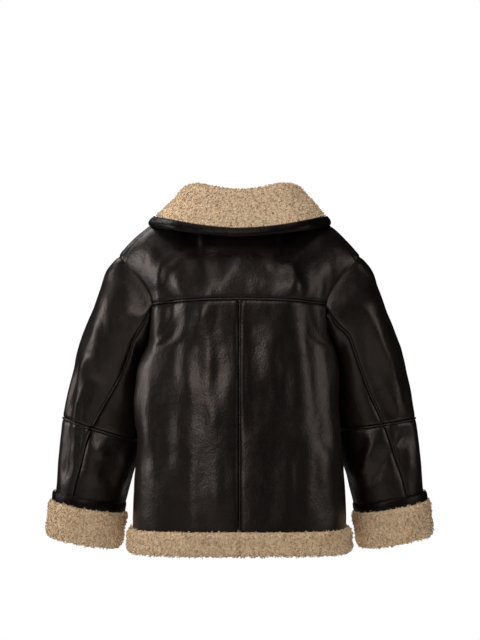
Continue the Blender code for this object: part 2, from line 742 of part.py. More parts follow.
def sleeve_welts(side, coat):
    sleeve = sleeve_grid(side)
    outward = np.cross(
        np.gradient(sleeve, axis=0), np.roll(sleeve, -1, axis=1) - np.roll(sleeve, 1, axis=1)
    )
    out = -SIDES[side] * unit(outward)
    row = UPPER_SLEEVE_ROWS
    below, above = sleeve[row + 1], sleeve[row - 1]
    welt(f"elbow_welt_{side}", sleeve[row], above, below, out[row], coat, closed=True)
    strips = [sleeve[:, BACK_SEAM_COLUMN + step] for step in (0, 1, -1)]
    normal = out[:, BACK_SEAM_COLUMN]
    upper = (shortened(p[: row + 1], WELT_AT_YOKE, WELT_CLEAR) for p in strips)
    welt(f"sleeve_{side}_upper_welt", *upper, normal[: row + 1], coat)
    stop = above_cuff(sleeve)
    lower = (shortened(p[row : stop + 1], WELT_CLEAR, 0.0) for p in strips)
    welt(f"sleeve_{side}_lower_welt", *lower, normal[row : stop + 1], coat)


def above_cuff(sleeve):
    """The last row of the sleeve that the turned cuff doesn't cover."""
    span = np.linspace(ELBOW, cuff_place(SLEEVE_STOP), LOWER_SLEEVE_ROWS + 1)
    return UPPER_SLEEVE_ROWS + int(np.sum(span < cuff_place(CUFF_LENGTH + 0.002))) - 1


# ================================================================ cuffs and hem band
def ring_solid(name, side, shape, look, coat):
    """A ring round the end of the sleeve, from a shape given out from the leather and up."""
    rings = []
    for out, up in shape:
        place = cuff_place(up)
        turn = around(min(place, 1.0), side)
        middle, out_axis, half_y = sleeve_sections(np.array([min(place, 1.0)]), side)
        ring = oval(middle[0], out_axis[0], half_y[0], turn)
        wide = np.linalg.norm(out_axis[0])
        angle = 2 * math.pi * turn[:, None]
        radial = unit(
            np.cos(angle) * out_axis[0] / wide**2 - np.sin(angle) * np.array([0, 1.0, 0]) / half_y[0]
        )
        below = np.array([0, 0, -1.0]) * max(0.0, -up)
        rings.append(on_side(ring + out * radial + below, side))
    return loft(name, np.stack(rings, axis=1), look, coat, closed=True)


def hem_band(grids, coat):
    """The wool band under the leather, in four pieces that meet at the middles and the sides."""
    for side in SIDES:
        for name in ("back", "front"):
            grid = grids[f"{name}_{side}"]
            edge, outward = grid[0], grid_normals(grid)[0]
            outward = unit(outward * np.array([1, 1, 0]))
            outward[[0, -1]] = unit(outward[[0, -1]])
            for end in (0, -1):
                if abs(edge[end, 1]) < 1e-6:
                    outward[end] = (SIDES[side], 0, 0)
                else:
                    outward[end] = (0, np.sign(edge[end, 1]), 0)
            edge = shortened(edge, SEAM_GAP / 2, SEAM_GAP / 2)
            up = np.array([0, 0, 1.0])
            sections = np.stack([edge + o * outward + u * up for o, u in HEM_SHAPE], axis=1)
            loft(f"hem_{name}_{side}", sections, WOOL, coat)


# ================================================================ collar
def collar_point(turn, path):
    """A point of the collar's middle sheet: turn from -1 to 1 round it, path from neck to edge."""
    turn, path = np.broadcast_arrays(np.asarray(turn, float), np.asarray(path, float))
    table_turns = np.array([row[0] for row in COLLAR])
    stations = np.array([[row[k] for row in COLLAR] for k in range(1, 5)]) * MM
    mirror = np.array([-1.0, 1.0, 1.0])
    turns = np.r_[-table_turns[:0:-1], table_turns]
    rows = np.concatenate([stations[:, :0:-1] * mirror, stations], axis=1)
    neck, fold, middle, edge = [spline(turns, row, turn) for row in rows]
    at, aside, up = np.array(COLLAR_RIGHT).T
    fuller = np.stack([np.interp(turn, at, aside), 0 * turn, np.interp(turn, at, up)], axis=-1) * MM
    fold, middle = fold + fuller / 2, middle + fuller
    up = np.array([0, 0, 1.0]) * np.linalg.norm(fold - neck, axis=-1)[..., None]
    over = FOLD_TURN * (middle - neck) * np.array([1, 1, 0.0])
    down = FALL * (edge - fold)
    spans = (
        (neck, fold, STAND * up, over),
        (fold, middle, over, down),
        (middle, edge, down, FALL_END * (edge - middle)),
    )
    made = np.zeros(turn.shape + (3,))
    for k, (start, end, leave, arrive) in enumerate(spans):
        first, last = COLLAR_KNOTS[k], COLLAR_KNOTS[k + 1]
        inside = (path >= first) & (path <= last)
        t = np.clip((path - first) / (last - first), 0, 1)[..., None]
        rise = t * t * (3 - 2 * t)
        here = (1 - rise) * start + rise * end
        here = here + (t * (1 - t) ** 2) * leave - (t * t * (1 - t)) * arrive
        made[inside] = here[inside]
    return made


def collar_normal(turn, path):
    """Towards the wool: away from the neck on the turned-down part."""
    low, high = np.clip(path - NORMAL_STEP, 0, 1), np.clip(path + NORMAL_STEP, 0, 1)
    down = collar_point(turn, high) - collar_point(turn, low)
    left, right = np.clip(turn - NORMAL_STEP, -1, 1), np.clip(turn + NORMAL_STEP, -1, 1)
    round_ = collar_point(right, path) - collar_point(left, path)
    return unit(np.cross(round_, down))


def collar_sheet(turn, path, thick):
    """Points over and under the collar's middle sheet, the upper ones on the wool side."""
    middle = collar_point(turn, path) + np.array([0, 0, COLLAR_LIFT])
    half = collar_normal(turn, path) * thick[..., None] / 2
    return middle + half, middle - half


def collar_lines():
    """The places across and round the collar where its wool meets the binding's inner edge."""
    turns = np.linspace(-1, 1, COLLAR_COLUMNS + 1) * (1 - BINDING_TURN)
    return turns, np.array(COLLAR_PATH) * (1 - BINDING_DEEP)


def collar(coat):
    """The folded shearling collar, wool outside, with its outer edges left to the binding."""
    turns, paths = collar_lines()
    turns, paths = turns[:, None] * (1 - BINDING_GAP), paths[None, :] * (1 - BINDING_GAP)
    thick = np.interp(paths, [0, FOOT_PATH], [COLLAR_FOOT, COLLAR_THICK])
    over, under = collar_sheet(*np.broadcast_arrays(turns, paths, thick))
    return wall("collar", over, under, WOOL, coat)


def collar_binding(coat):
    """The leather strip that binds the collar's front ends and outer edge, rounded outside."""
    turns, paths = collar_lines()
    ends, edge = paths[:-1], turns[1:-1]
    inner_turns = np.r_[np.full(len(ends) + 1, turns[0]), edge, np.full(len(ends) + 1, turns[-1])]
    inner_paths = np.r_[ends, np.full(len(edge) + 2, paths[-1]), ends[::-1]]
    outer_turns = np.r_[np.full(len(ends) + 1, -1), edge, np.ones(len(ends) + 1)]
    outer_paths = np.r_[ends, np.ones(len(edge) + 2), ends[::-1]]
    wide, thick = np.array(BINDING_SHAPE).T
    turn = inner_turns[:, None] + wide * (outer_turns - inner_turns)[:, None]
    path = inner_paths[:, None] + wide * (outer_paths - inner_paths)[:, None]
    over, under = collar_sheet(turn, path, np.broadcast_to(thick * BINDING_THICK, turn.shape))
    return wall("collar_binding", over, under, LEATHER, coat)


# ================================================================ zip
def zip_tapes(grids, coat):
    for side, sign in SIDES.items():
        column = 0 if side == "left" else -1
        line = shortened(grids[f"front_{side}"][:, column], -ZIP_BELOW_LEATHER, ZIP_TOP_TRIM)
        y, z = line[:, 1] - TAPE_RECESS, line[:, 2]
        near, far = sign * SEAM_GAP / 2, sign * (ZIP_HALF - SEAM_GAP)
        corners = ((near, 0), (far, 0), (far, TAPE_THICK), (near, TAPE_THICK))
        sections = np.stack(
            [np.stack([np.full_like(y, x), y - deep, z], axis=-1) for x, deep in corners], axis=1
        )
        loft(f"zip_tape_{side}", sections, TAPE, coat)


def box(bm, size, middle):
    made = bmesh.ops.create_cube(bm, size=1)["verts"]
    bmesh.ops.scale(bm, vec=size, verts=made)
    bmesh.ops.translate(bm, vec=middle, verts=made)
    return made


def pin(bm, radius, length, middle):
    made = bmesh.ops.create_cone(
        bm, cap_ends=True, segments=16, radius1=radius, radius2=radius, depth=length
    )["verts"]
    bmesh.ops.rotate(bm, cent=(0, 0, 0), matrix=Matrix.Rotation(math.pi / 2, 3, "Y"), verts=made)
    bmesh.ops.translate(bm, vec=middle, verts=made)
    return made


def helper(name, bm, cutters):
    mesh = bpy.data.meshes.new(name)
    bmesh.ops.recalc_face_normals(bm, faces=bm.faces)
    bm.to_mesh(mesh)
    bm.free()
    made = bpy.data.objects.new(name, mesh)
    made.hide_render = True
    made.display_type = "WIRE"
    cutters.objects.link(made)
    return made


def combine(target, other, operation):
    step = target.modifiers.new(other.name, "BOOLEAN")
    step.operation = operation
    step.object = other


def slider_frame(grids):
    """Where the slider's middle sits on the zip, and the zip's slope there."""
    line = grids["front_right"][:, -1]
    top = line[-1] - np.array([0, 0, SLIDER_DROP])
    z = line[:, 2]
    y = np.interp(top[2], z, line[:, 1])
    rise = np.interp(top[2] + 0.01, z, line[:, 1]) - np.interp(top[2] - 0.01, z, line[:, 1])
    return (0.0, float(y) - TAPE_RECESS + 2 * SEAM_GAP, float(top[2])), math.atan2(-rise, 0.02)


def zip_slider(grids, coat, cutters):
    """The slider's body with two ears and a pin, and the pull tab that swings on the pin."""
    place, lean = slider_frame(grids)
    thick = SLIDER_SIZE[1]
    pivot = Vector((0, thick + PIVOT_OUT, PIVOT_UP))
    bm = bmesh.new()
    box(bm, SLIDER_SIZE, (0, thick / 2, 0))
    slider = add_object("zip_slider", bm, METAL, coat)
    bm = bmesh.new()
    for sign in SIDES.values():
        ear_out = thick + SLIDER_EAR[1] / 2 - EAR_ROOT
        box(bm, SLIDER_EAR, (sign * SLIDER_EAR_APART / 2, ear_out, PIVOT_UP))
    ears = helper("slider_ears", bm, cutters)
    bm = bmesh.new()
    pin(bm, PIVOT_RADIUS, SLIDER_EAR_APART, pivot)
    axle = helper("slider_pin", bm, cutters)
    combine(slider, ears, "UNION")
    combine(slider, axle, "UNION")

    eye_wide = SLIDER_EAR_APART - SLIDER_EAR[0] - 2 * PIVOT_PLAY
    plate_top = EYE_RADIUS + PULL_NECK
    bm = bmesh.new()
    box(bm, PULL_SIZE, (0, 0, -plate_top - PULL_SIZE[2] / 2))
    pull = add_object("zip_pull", bm, METAL, coat)
    bm = bmesh.new()
    box(bm, (eye_wide, PULL_SIZE[1], plate_top + PULL_NECK), (0, 0, -(plate_top + PULL_NECK) / 2))
    neck = helper("pull_neck", bm, cutters)
    bm = bmesh.new()
    pin(bm, EYE_RADIUS, eye_wide, (0, 0, 0))
    eye = helper("pull_eye", bm, cutters)
    bm = bmesh.new()
    pin(bm, PIVOT_RADIUS + PIVOT_PLAY, 2 * PULL_SIZE[0], (0, 0, 0))
    bore = helper("pull_bore", bm, cutters)
    combine(pull, neck, "UNION")
    combine(pull, eye, "UNION")
    combine(pull, bore, "DIFFERENCE")

    frame = bpy.data.objects.new("zip_frame", None)
    frame.location = place
    frame.rotation_euler = (lean, 0, 0)
    coat.objects.link(frame)
    hinge = bpy.data.objects.new("pull_hinge", None)
    hinge.location = pivot
    hinge.parent = frame
    coat.objects.link(hinge)
    for piece in (slider, ears, axle):
        piece.parent = frame
    for piece in (pull, neck, eye, bore):
        piece.parent = hinge


# ================================================================ the coat
def new_collection(name):
    made = bpy.data.collections.new(name)
    bpy.context.scene.collection.children.link(made)
    return made


def main():
    for old in list(bpy.data.objects):
        bpy.data.objects.remove(old)
    coat = new_collection("shearling coat")
    cutters = new_collection("cutters")
    cutters.hide_render = True
    grids = shearling_grids()
    depths = shared_depths(grids)
    for name, grid in grids.items():
        wall(name, *drawn_back(grid, depths[name]), LEATHER, coat)
    body_welts(grids, coat)
    hem_band(grids, coat)
    for side in SIDES:
        sleeve_welts(side, coat)
        ring_solid(f"cuff_{side}", side, CUFF_SHAPE, WOOL, coat)
        ring_solid(f"cuff_binding_{side}", side, CUFF_BINDING_SHAPE, LEATHER, coat)
    collar(coat)
    collar_binding(coat)
    zip_tapes(grids, coat)
    zip_slider(grids, coat, cutters)


main()
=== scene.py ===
"""Dresses the shearling coat: creased leather, curled wool, welts, stitches, zip, light and camera.

The coat faces +Y, +X is the wearer's right and +Z is up. Every grid of points runs up in its rows
and round in its columns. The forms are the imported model's own, read at finer places.
"""

import functools
import math

import bmesh
import bpy
import numpy as np
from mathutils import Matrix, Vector, noise


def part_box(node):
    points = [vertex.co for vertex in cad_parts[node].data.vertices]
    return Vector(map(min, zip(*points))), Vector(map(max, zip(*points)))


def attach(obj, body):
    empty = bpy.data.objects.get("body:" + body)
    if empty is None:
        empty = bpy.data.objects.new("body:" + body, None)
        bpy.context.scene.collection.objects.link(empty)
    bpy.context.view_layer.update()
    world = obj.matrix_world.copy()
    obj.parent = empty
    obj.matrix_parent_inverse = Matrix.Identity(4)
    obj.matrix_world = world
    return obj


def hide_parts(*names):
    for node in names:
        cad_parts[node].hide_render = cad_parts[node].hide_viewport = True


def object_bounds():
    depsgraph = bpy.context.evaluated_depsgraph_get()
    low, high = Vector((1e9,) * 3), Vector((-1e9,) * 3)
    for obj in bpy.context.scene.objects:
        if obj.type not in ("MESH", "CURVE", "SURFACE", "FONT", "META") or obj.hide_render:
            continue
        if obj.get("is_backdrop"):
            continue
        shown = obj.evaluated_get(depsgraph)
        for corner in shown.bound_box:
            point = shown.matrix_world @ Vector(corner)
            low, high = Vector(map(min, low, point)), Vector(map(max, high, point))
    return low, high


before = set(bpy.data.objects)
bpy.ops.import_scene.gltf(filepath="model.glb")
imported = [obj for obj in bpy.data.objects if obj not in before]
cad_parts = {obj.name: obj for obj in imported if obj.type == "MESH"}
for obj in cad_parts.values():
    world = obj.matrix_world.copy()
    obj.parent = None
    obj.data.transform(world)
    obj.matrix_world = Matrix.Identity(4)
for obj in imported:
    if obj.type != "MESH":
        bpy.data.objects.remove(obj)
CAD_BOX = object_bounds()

bl_info = {
    "name": "Shearling Coat",
    "version": (1, 0, 0),
    "blender": (4, 5, 0),
    "location": "3D View > Sidebar > Coat",
    "description": "Leather, wool, sewing, zip and studio of a hip-length shearling coat",
    "category": "Object",
}

COAT = "coat"
SIDES = {"left": -1.0, "right": 1.0}
UP = np.array([0, 0, 1.0])
FORWARD = np.array([0, 1.0, 0])
LEVEL = np.array([1, 1, 0.0])
MM = 0.001

# ---------------------------------------------------------------- cloth and seams, in metres
SKIN = 0.006
SEAM_GAP = 0.0003
# the sharpest joints that are still followed, of two walls and of two edges
LEAST_MITRE = 0.6
LEAST_CORNER = 0.5
SHARP_ANGLE = math.radians(50)
# the length under which a vector has no direction, and the decimals to which meeting points agree
LEAST_LENGTH = 1e-12
MEETING_PLACES = 5

# ---------------------------------------------------------------- how finely the cloth is divided
# points at which a body section is measured, and columns of its finest division
SECTION_SAMPLES = 400
FINE_COLUMNS = 400
HALF_COLUMNS = 10
NECK_COLUMNS = 4
# columns on each side of the neck's corner over which the shoulder takes over
SHOULDER_BLEND = 2
# how sharply a pull that belongs to an edge fades away from it
EDGE_POWER = 4
SKIRT_ROWS = 10
YOKE_ROWS = 6
BACK_ARM_ROWS = 8
CHEST_ROWS = 7
FRONT_TOP_ROWS = 7
AROUND_SLEEVE = YOKE_ROWS + BACK_ARM_ROWS + CHEST_ROWS + FRONT_TOP_ROWS
UPPER_SLEEVE_ROWS = 10
LOWER_SLEEVE_ROWS = 7
BACK_SEAM_COLUMN = 7
FRONT_SEAM_COLUMN = 19

# ---------------------------------------------------------------- body
# height, half width, depth of the back, depth of the front
BODY = (
    (-0.650, 0.1990, 0.139, 0.140),
    (-0.600, 0.1985, 0.139, 0.140),
    (-0.500, 0.1950, 0.138, 0.141),
    (-0.440, 0.1900, 0.137, 0.142),
    (-0.380, 0.1850, 0.136, 0.142),
    (-0.317, 0.1790, 0.135, 0.140),
    (-0.265, 0.1720, 0.134, 0.135),
)
BACK_ROUNDNESS = 2.6
FRONT_ROUNDNESS = 2.15
SECTION_ASPECT = 1.35
SKIRT_CENTRE = -0.594
SKIRT_SIDE = -0.603
ARMPIT = -0.265
ZIP_HALF = 0.0068

# the yoke seam and the chest row, where each crosses the middle of the coat: depth, height
YOKE_MIDDLE = (-0.1365, -0.1765)
CHEST_MIDDLE = (0.121, -0.176)

# right half of each edge: sideways, forwards, up
BACK_ARMHOLE = (
    (0.2190, -0.030, -0.1030),
    (0.2030, -0.039, -0.1180),
    (0.1865, -0.049, -0.1370),
    (0.1725, -0.058, -0.1560),
    (0.1635, -0.065, -0.1740),
    (0.1605, -0.068, -0.1860),
)
UNDER_BACK_ARMHOLE = (
    (0.1605, -0.068, -0.1860),
    (0.1615, -0.064, -0.2080),
    (0.1650, -0.050, -0.2350),
    (0.1690, -0.026, -0.2560),
    (0.1720, 0.000, -0.2650),
)
UNDER_FRONT_ARMHOLE = (
    (0.1720, 0.000, -0.2650),
    (0.1720, 0.028, -0.2570),
    (0.1710, 0.052, -0.2350),
    (0.1730, 0.066, -0.2050),
    (0.1790, 0.069, -0.1800),
)
FRONT_ARMHOLE = (
    (0.1790, 0.069, -0.1800),
    (0.1920, 0.061, -0.1500),
    (0.2080, 0.043, -0.1230),
    (0.2230, 0.018, -0.1020),
    (0.2260, -0.008, -0.0960),
    (0.2190, -0.030, -0.1030),
)
BACK_NECK = (
    (0.0000, -0.0820, -0.0180),
    (0.0300, -0.0780, -0.0150),
    (0.0570, -0.0620, -0.0080),
    (0.0740, -0.0400, -0.0020),
    (0.0790, -0.0200, 0.0000),
)
FRONT_NECK = (
    (ZIP_HALF, 0.0820, -0.0870),
    (0.0330, 0.0760, -0.0720),
    (0.0600, 0.0520, -0.0410),
    (0.0770, 0.0140, -0.0090),
    (0.0790, -0.0200, 0.0000),
)
SHOULDER = (
    (0.0790, -0.0200, 0.0000),
    (0.1300, -0.0265, -0.0190),
    (0.1730, -0.0300, -0.0480),
    (0.2000, -0.0310, -0.0770),
    (0.2190, -0.0300, -0.1030),
)

# how the cloth leaves the row below and arrives at the neck and the shoulder seam
YOKE_RISE = 0.165
CHEST_RISE = 0.175
LEAVING = (0.0, 0.0, 1.0)
YOKE_ARRIVES_NECK = (0.0, 0.35, 0.94)
YOKE_ARRIVES_SHOULDER = (-0.12, 0.95, 0.42)
CHEST_ARRIVES_NECK = (0.0, -0.45, 0.89)
CHEST_ARRIVES_SHOULDER = (-0.12, -0.95, -0.36)

# folds of the body: sideways at the top and at the bottom, top, bottom, half width, height
BACK_FOLDS = (
    (-0.150, -0.172, -0.205, -0.420, 0.016, 0.0045),
    (-0.122, -0.132, -0.185, -0.470, 0.021, -0.0085),
    (-0.058, -0.038, -0.200, -0.540, 0.024, 0.0050),
    (-0.095, -0.070, -0.420, -0.720, 0.018, 0.0035),
    (0.024, 0.030, -0.230, -0.400, 0.018, -0.0045),
    (0.088, 0.100, -0.150, -0.400, 0.028, 0.0060),
    (0.060, 0.052, -0.330, -0.540, 0.020, -0.0035),
    (0.141, 0.152, -0.210, -0.430, 0.015, -0.0055),
    (-0.080, -0.062, -0.060, -0.150, 0.024, 0.0040),
    (0.070, 0.100, -0.085, -0.150, 0.018, 0.0045),
    (-0.118, -0.136, -0.080, -0.170, 0.018, -0.0050),
    (0.125, 0.136, -0.085, -0.170, 0.016, -0.0050),
)
FRONT_FOLDS = (
    (-0.120, -0.105, -0.200, -0.460, 0.024, -0.0070),
    (0.112, 0.122, -0.190, -0.430, 0.024, -0.0065),
    (-0.070, -0.082, -0.290, -0.720, 0.026, 0.0050),
    (0.066, 0.060, -0.260, -0.540, 0.026, 0.0050),
    (-0.150, -0.160, -0.330, -0.540, 0.018, 0.0045),
    (0.148, 0.170, -0.350, -0.720, 0.018, 0.0040),
)
FOLD_END = 0.045
# how much fuller each side is, under the arm: amount, top, bottom, depth, half width
SIDE_FULLNESS = {
    "left": (0.0130, -0.306, -0.375, -0.042, 0.034),
    "right": (0.0090, -0.285, -0.310, -0.042, 0.034),
}
SIDE_FADE = 0.055
SIDE_REACH = 0.16
FOLD_FACING = 0.06
FOLD_SIDEWAYS = 0.45

# ---------------------------------------------------------------- sleeve, right one
# place along the sleeve, outer edge x and z, inner edge x and z, middle y, half depth,
# and, after these first seven, place round it of the back seam (left, right) and the front seam
SLEEVE = (
    (0.14, 0.2690, -0.178, 0.1800, -0.293, 0.018, 0.072, 0.345, 0.315, 0.660),
    (0.28, 0.3050, -0.268, 0.1800, -0.340, 0.042, 0.071, 0.309, 0.290, 0.650),
    (0.38, 0.3165, -0.313, 0.1785, -0.374, 0.054, 0.069, 0.274, 0.267, 0.645),
    (0.46, 0.3275, -0.357, 0.1795, -0.404, 0.061, 0.067, 0.244, 0.246, 0.640),
    (0.54, 0.3360, -0.401, 0.1830, -0.436, 0.066, 0.066, 0.212, 0.226, 0.640),
    (0.64, 0.3425, -0.451, 0.1925, -0.476, 0.070, 0.065, 0.198, 0.203, 0.640),
    (0.74, 0.3475, -0.498, 0.2070, -0.521, 0.073, 0.063, 0.186, 0.184, 0.640),
    (0.83, 0.3515, -0.540, 0.2175, -0.563, 0.076, 0.061, 0.176, 0.174, 0.640),
    (1.00, 0.3590, -0.626, 0.2345, -0.648, 0.080, 0.060, 0.168, 0.168, 0.640),
)
SLEEVE_FORM = 7
FIRST_SECTION = SLEEVE[0][0]
CUFF_TOP = SLEEVE[-2][0]
ELBOW = 0.54
SLEEVE_AXIS = (0.45, 0.08, -0.89)
CAP_SPREAD = 0.27
# how far past the first section the sleeve's direction there is read
CAP_STEP = 0.01
ELBOW_SKEW = {"left": -0.009, "right": 0.013}
ELBOW_SKEW_REACH = 0.12

# folds of each sleeve: place along and round at the start, the same at the end, half width, height
SLEEVE_FOLDS = {
    "right": (
        (0.10, 0.16, 0.50, 0.16, 0.040, 0.0055),
        (0.12, 0.25, 0.48, 0.22, 0.035, -0.0055),
        (0.60, 0.13, 0.70, 0.22, 0.045, -0.0035),
        (0.60, 0.26, 0.72, 0.36, 0.050, 0.0050),
        (0.57, 0.08, 0.78, 0.12, 0.035, 0.0040),
        (0.45, 0.62, 0.62, 0.80, 0.050, -0.0060),
        (0.50, 0.72, 0.70, 0.92, 0.045, 0.0050),
    ),
    "left": (
        (0.14, 0.12, 0.30, 0.20, 0.040, 0.0050),
        (0.30, 0.12, 0.52, 0.15, 0.035, 0.0055),
        (0.34, 0.07, 0.80, 0.12, 0.030, -0.0065),
        (0.60, 0.26, 0.74, 0.25, 0.050, 0.0050),
        (0.62, 0.40, 0.72, 0.40, 0.045, 0.0045),
        (0.62, 0.33, 0.74, 0.32, 0.035, -0.0040),
        (0.44, 0.64, 0.60, 0.84, 0.050, -0.0060),
        (0.52, 0.74, 0.72, 0.94, 0.045, 0.0050),
    ),
}
SLEEVE_FOLD_END = 0.07
FOLDS_STOP = 0.72
FOLDS_FADE = 0.060

# ---------------------------------------------------------------- turned cuff
CUFF_LENGTH = 0.094
SLEEVE_STOP = 0.0125

# ---------------------------------------------------------------- collar, right half
# place round it (0 at the back, 1 at the front end), then, in millimetres, the points of its
# neckline, fold, middle and outer edge
COLLAR = (
    (0.00, (0, -82, -18), (0, -99, 17), (0, -127, -22), (0, -144, -68)),
    (0.20, (36, -76, -13), (41, -92, 22), (59, -119, -17), (73, -137, -62)),
    (0.38, (66, -52, -4), (73, -63, 30), (102, -87, -5), (131, -105, -52)),
    (0.50, (79, -20, 0), (85, -22, 31), (122, -28, 3), (166, -37, -42)),
    (0.62, (78, 8, -6), (84, 11, 24), (117, 18, -2), (160, 28, -38)),
    (0.78, (64, 46, -35), (70, 59, -10), (101, 83, -36), (136, 104, -78)),
    (0.90, (38, 73, -68), (42, 88, -48), (68, 117, -82), (98, 137, -126)),
    (1.00, (11.5, 81, -83), (13.5, 97, -73), (37, 126, -112), (64, 143, -157)),
)
# how much further out the right side's collar lies, at its fold and middle: turn, sideways, up
COLLAR_RIGHT = (
    (0.0, 0.0, 0.0),
    (0.20, 1.0, 0.0),
    (0.38, 6.0, 1.0),
    (0.50, 8.0, 3.0),
    (0.62, 8.0, 2.0),
    (0.78, 2.0, 0.0),
    (1.0, 0.0, 0.0),
)
# the path's share at the neckline, fold, middle and edge, and how strongly it runs through them
COLLAR_KNOTS = (0.0, 0.30, 0.62, 1.0)
STAND = 1.56
FOLD_TURN = 1.5
FALL = 0.62
FALL_END = 0.9
NORMAL_STEP = 0.01
COLLAR_THICK = 0.0115
COLLAR_FOOT = 0.0085
FOOT_PATH = 0.12
COLLAR_LIFT = 0.0014
# share of the collar's path and of its turn that the binding takes, and the gap beside it
BINDING_DEEP = 0.135
BINDING_TURN = 0.065
BINDING_GAP = 0.0022
BINDING_THICK = 0.0112

# ---------------------------------------------------------------- fine cloth, in metres
PANEL_SPACING = 0.0048
SEAM_STEPS = (0.0, 0.0010, 0.0024, 0.0044)
# at each kind of edge: how deep the cloth dips, how wide the dip is, where the folds start
SEAM_DIPS = {
    "welt": (0.0034, 0.0034, 0.0),
    "plain": (0.0026, 0.0034, 0.012),
    "armhole": (0.0020, 0.0050, 0.020),
    "front": (0.0010, 0.0020, 0.012),
    "hem": (0.0010, 0.0020, 0.030),
    "cuff": (0.0, 0.0020, 0.030),
}
CREASE_TAPER = 0.42
CREASE_FACING = (0.05, 0.45)
# slow unevenness: its grain along x, y and z, its height, its own number, which shifts it
SEED_STEP = (7.31, 3.17, 1.73)
UNEVEN = (
    ((0.030, 0.030, 0.075), 0.0016, 1),
    ((0.016, 0.016, 0.028), 0.0006, 2),
)
# finer folds, in millimetres in the plane of x and z: both ends, half width on each side,
# height (a trough where negative), and how far the middle bows aside
CREASES = {
    ("body", "back"): (
        (-84, -76, -150, -142, 10, 14, 4.0, 8),
        (-138, -98, -152, -176, 9, 9, 3.0, 0),
        (-46, -182, 22, -74, 20, 24, 5.0, 0),
        (-120, -170, -126, -500, 16, 15, 5.0, 0),
        (-76, -290, -82, -460, 14, 18, 2.2, 0),
        (-24, -150, -24, -440, 20, 13, 4.5, 0),
        (84, -170, 84, -520, 42, 22, -8.0, 0),
        (-170, -236, -156, -262, 4, 4, -1.6, 0),
        (-170, -254, -158, -280, 4, 5, -1.3, 0),
        (-54, -172, -88, -258, 10, 14, 3.5, 0),
        (-88, -240, -94, -400, 12, 16, 3.5, 0),
        (-92, -360, -92, -540, 14, 16, 1.2, 0),
        (-44, -210, -34, -370, 16, 14, -3.5, 0),
        (-62, -240, -92, -310, 12, 12, -1.5, 0),
        (-44, -345, -44, -425, 11, 12, 1.8, 0),
        (-20, -200, -22, -340, 11, 11, -1.5, 0),
        (5, -250, 6, -400, 5, 10, 2.0, 0),
        (24, -200, 62, -262, 16, 16, -2.0, 0),
        (108, -215, 112, -300, 14, 18, 2.2, 0),
        (36, -315, 68, -380, 12, 12, -1.8, 0),
        (99, -392, 112, -436, 8, 9, 2.0, 0),
        (-128, -470, -124, -560, 12, 12, 1.0, 0),
        (-70, -450, -62, -580, 12, 12, 0.9, 0),
        (44, -112, 98, -116, 9, 10, 2.6, 6),
        (84, -100, 112, -176, 10, 12, 4.5, 0),
        (156, -108, 168, -225, 8, 8, -3.0, 0),
        (148, -230, 158, -560, 20, 20, 2.4, 0),
        (-87, -430, -84, -600, 8, 9, 1.3, 0),
        (-66, -420, -62, -600, 9, 9, -1.2, 0),
        (-45, -440, -41, -590, 9, 10, 1.1, 0),
        (-25, -430, -27, -600, 10, 10, -0.9, 0),
        (42, -440, 45, -600, 9, 9, 1.6, 0),
        (106, -440, 103, -600, 10, 8, -1.8, 0),
    ),
    ("body", "front"): (
        (88, -80, 148, -142, 12, 14, 2.6, 0),
        (142, -190, 158, -300, 8, 9, 2.0, 0),
        (-140, -180, -158, -290, 8, 9, 2.2, 0),
        (70, -205, 54, -262, 13, 12, 1.8, 0),
        (-60, -230, -84, -310, 12, 12, -1.6, 0),
        (-104, -210, -110, -300, 14, 16, 2.0, 0),
        (40, -320, 66, -390, 12, 12, -1.6, 0),
        (-112, -380, -98, -436, 9, 9, 1.6, 0),
        (124, -460, 120, -550, 9, 9, 1.5, 0),
        (60, -450, 72, -550, 9, 9, 1.5, 0),
        (-56, -110, -100, -122, 11, 10, 1.8, 5),
    ),
    ("sleeve_left", "back"): (
        (-243, -196, -232, -262, 12, 12, 2.5, 0),
        (-200, -200, -194, -250, 12, 12, -2.6, 0),
        (-268, -318, -274, -392, 7, 7, 2.8, 0),
        (-297, -318, -299, -532, 8, 8, -4.0, 3),
        (-294, -268, -266, -286, 3, 5, -1.2, 0),
        (-227, -266, -214, -398, 14, 12, 2.0, 0),
        (-270, -444, -254, -474, 9, 9, 2.6, 0),
        (-282, -466, -240, -476, 4, 5, -1.6, 7),
        (-276, -484, -238, -490, 5, 6, -1.2, 6),
        (-221, -450, -209, -506, 8, 8, 2.4, 0),
    ),
    ("sleeve_left", "front"): (
        (-252, -210, -268, -300, 12, 12, 2.4, 0),
        (-236, -232, -240, -322, 8, 8, -3.0, 0),
        (-250, -434, -222, -512, 8, 9, 3.6, 0),
        (-278, -458, -248, -530, 7, 7, -3.4, 0),
        (-310, -424, -296, -456, 4, 6, -2.4, 0),
    ),
    ("sleeve_right", "back"): (
        (249, -208, 277, -318, 12, 12, 2.5, 0),
        (231, -220, 237, -334, 7, 9, -4.0, 0),
        (256, -432, 219, -520, 8, 9, 4.6, 0),
        (278, -456, 241, -538, 7, 7, -4.6, 0),
        (284, -460, 288, -528, 7, 7, 2.0, 0),
        (316, -420, 294, -458, 4, 6, -3.0, 0),
        (317, -436, 323, -512, 7, 7, 2.0, 0),
        (236, -430, 210, -500, 7, 8, -2.2, 0),
    ),
    ("sleeve_right", "front"): (
        (240, -196, 232, -268, 12, 12, 2.4, 0),
        (268, -322, 276, -398, 7, 7, 2.6, 0),
        (299, -330, 301, -520, 8, 8, -3.2, -3),
        (268, -446, 252, -478, 9, 9, 2.4, 0),
        (280, -468, 240, -478, 4, 5, -1.5, -6),
    ),
}

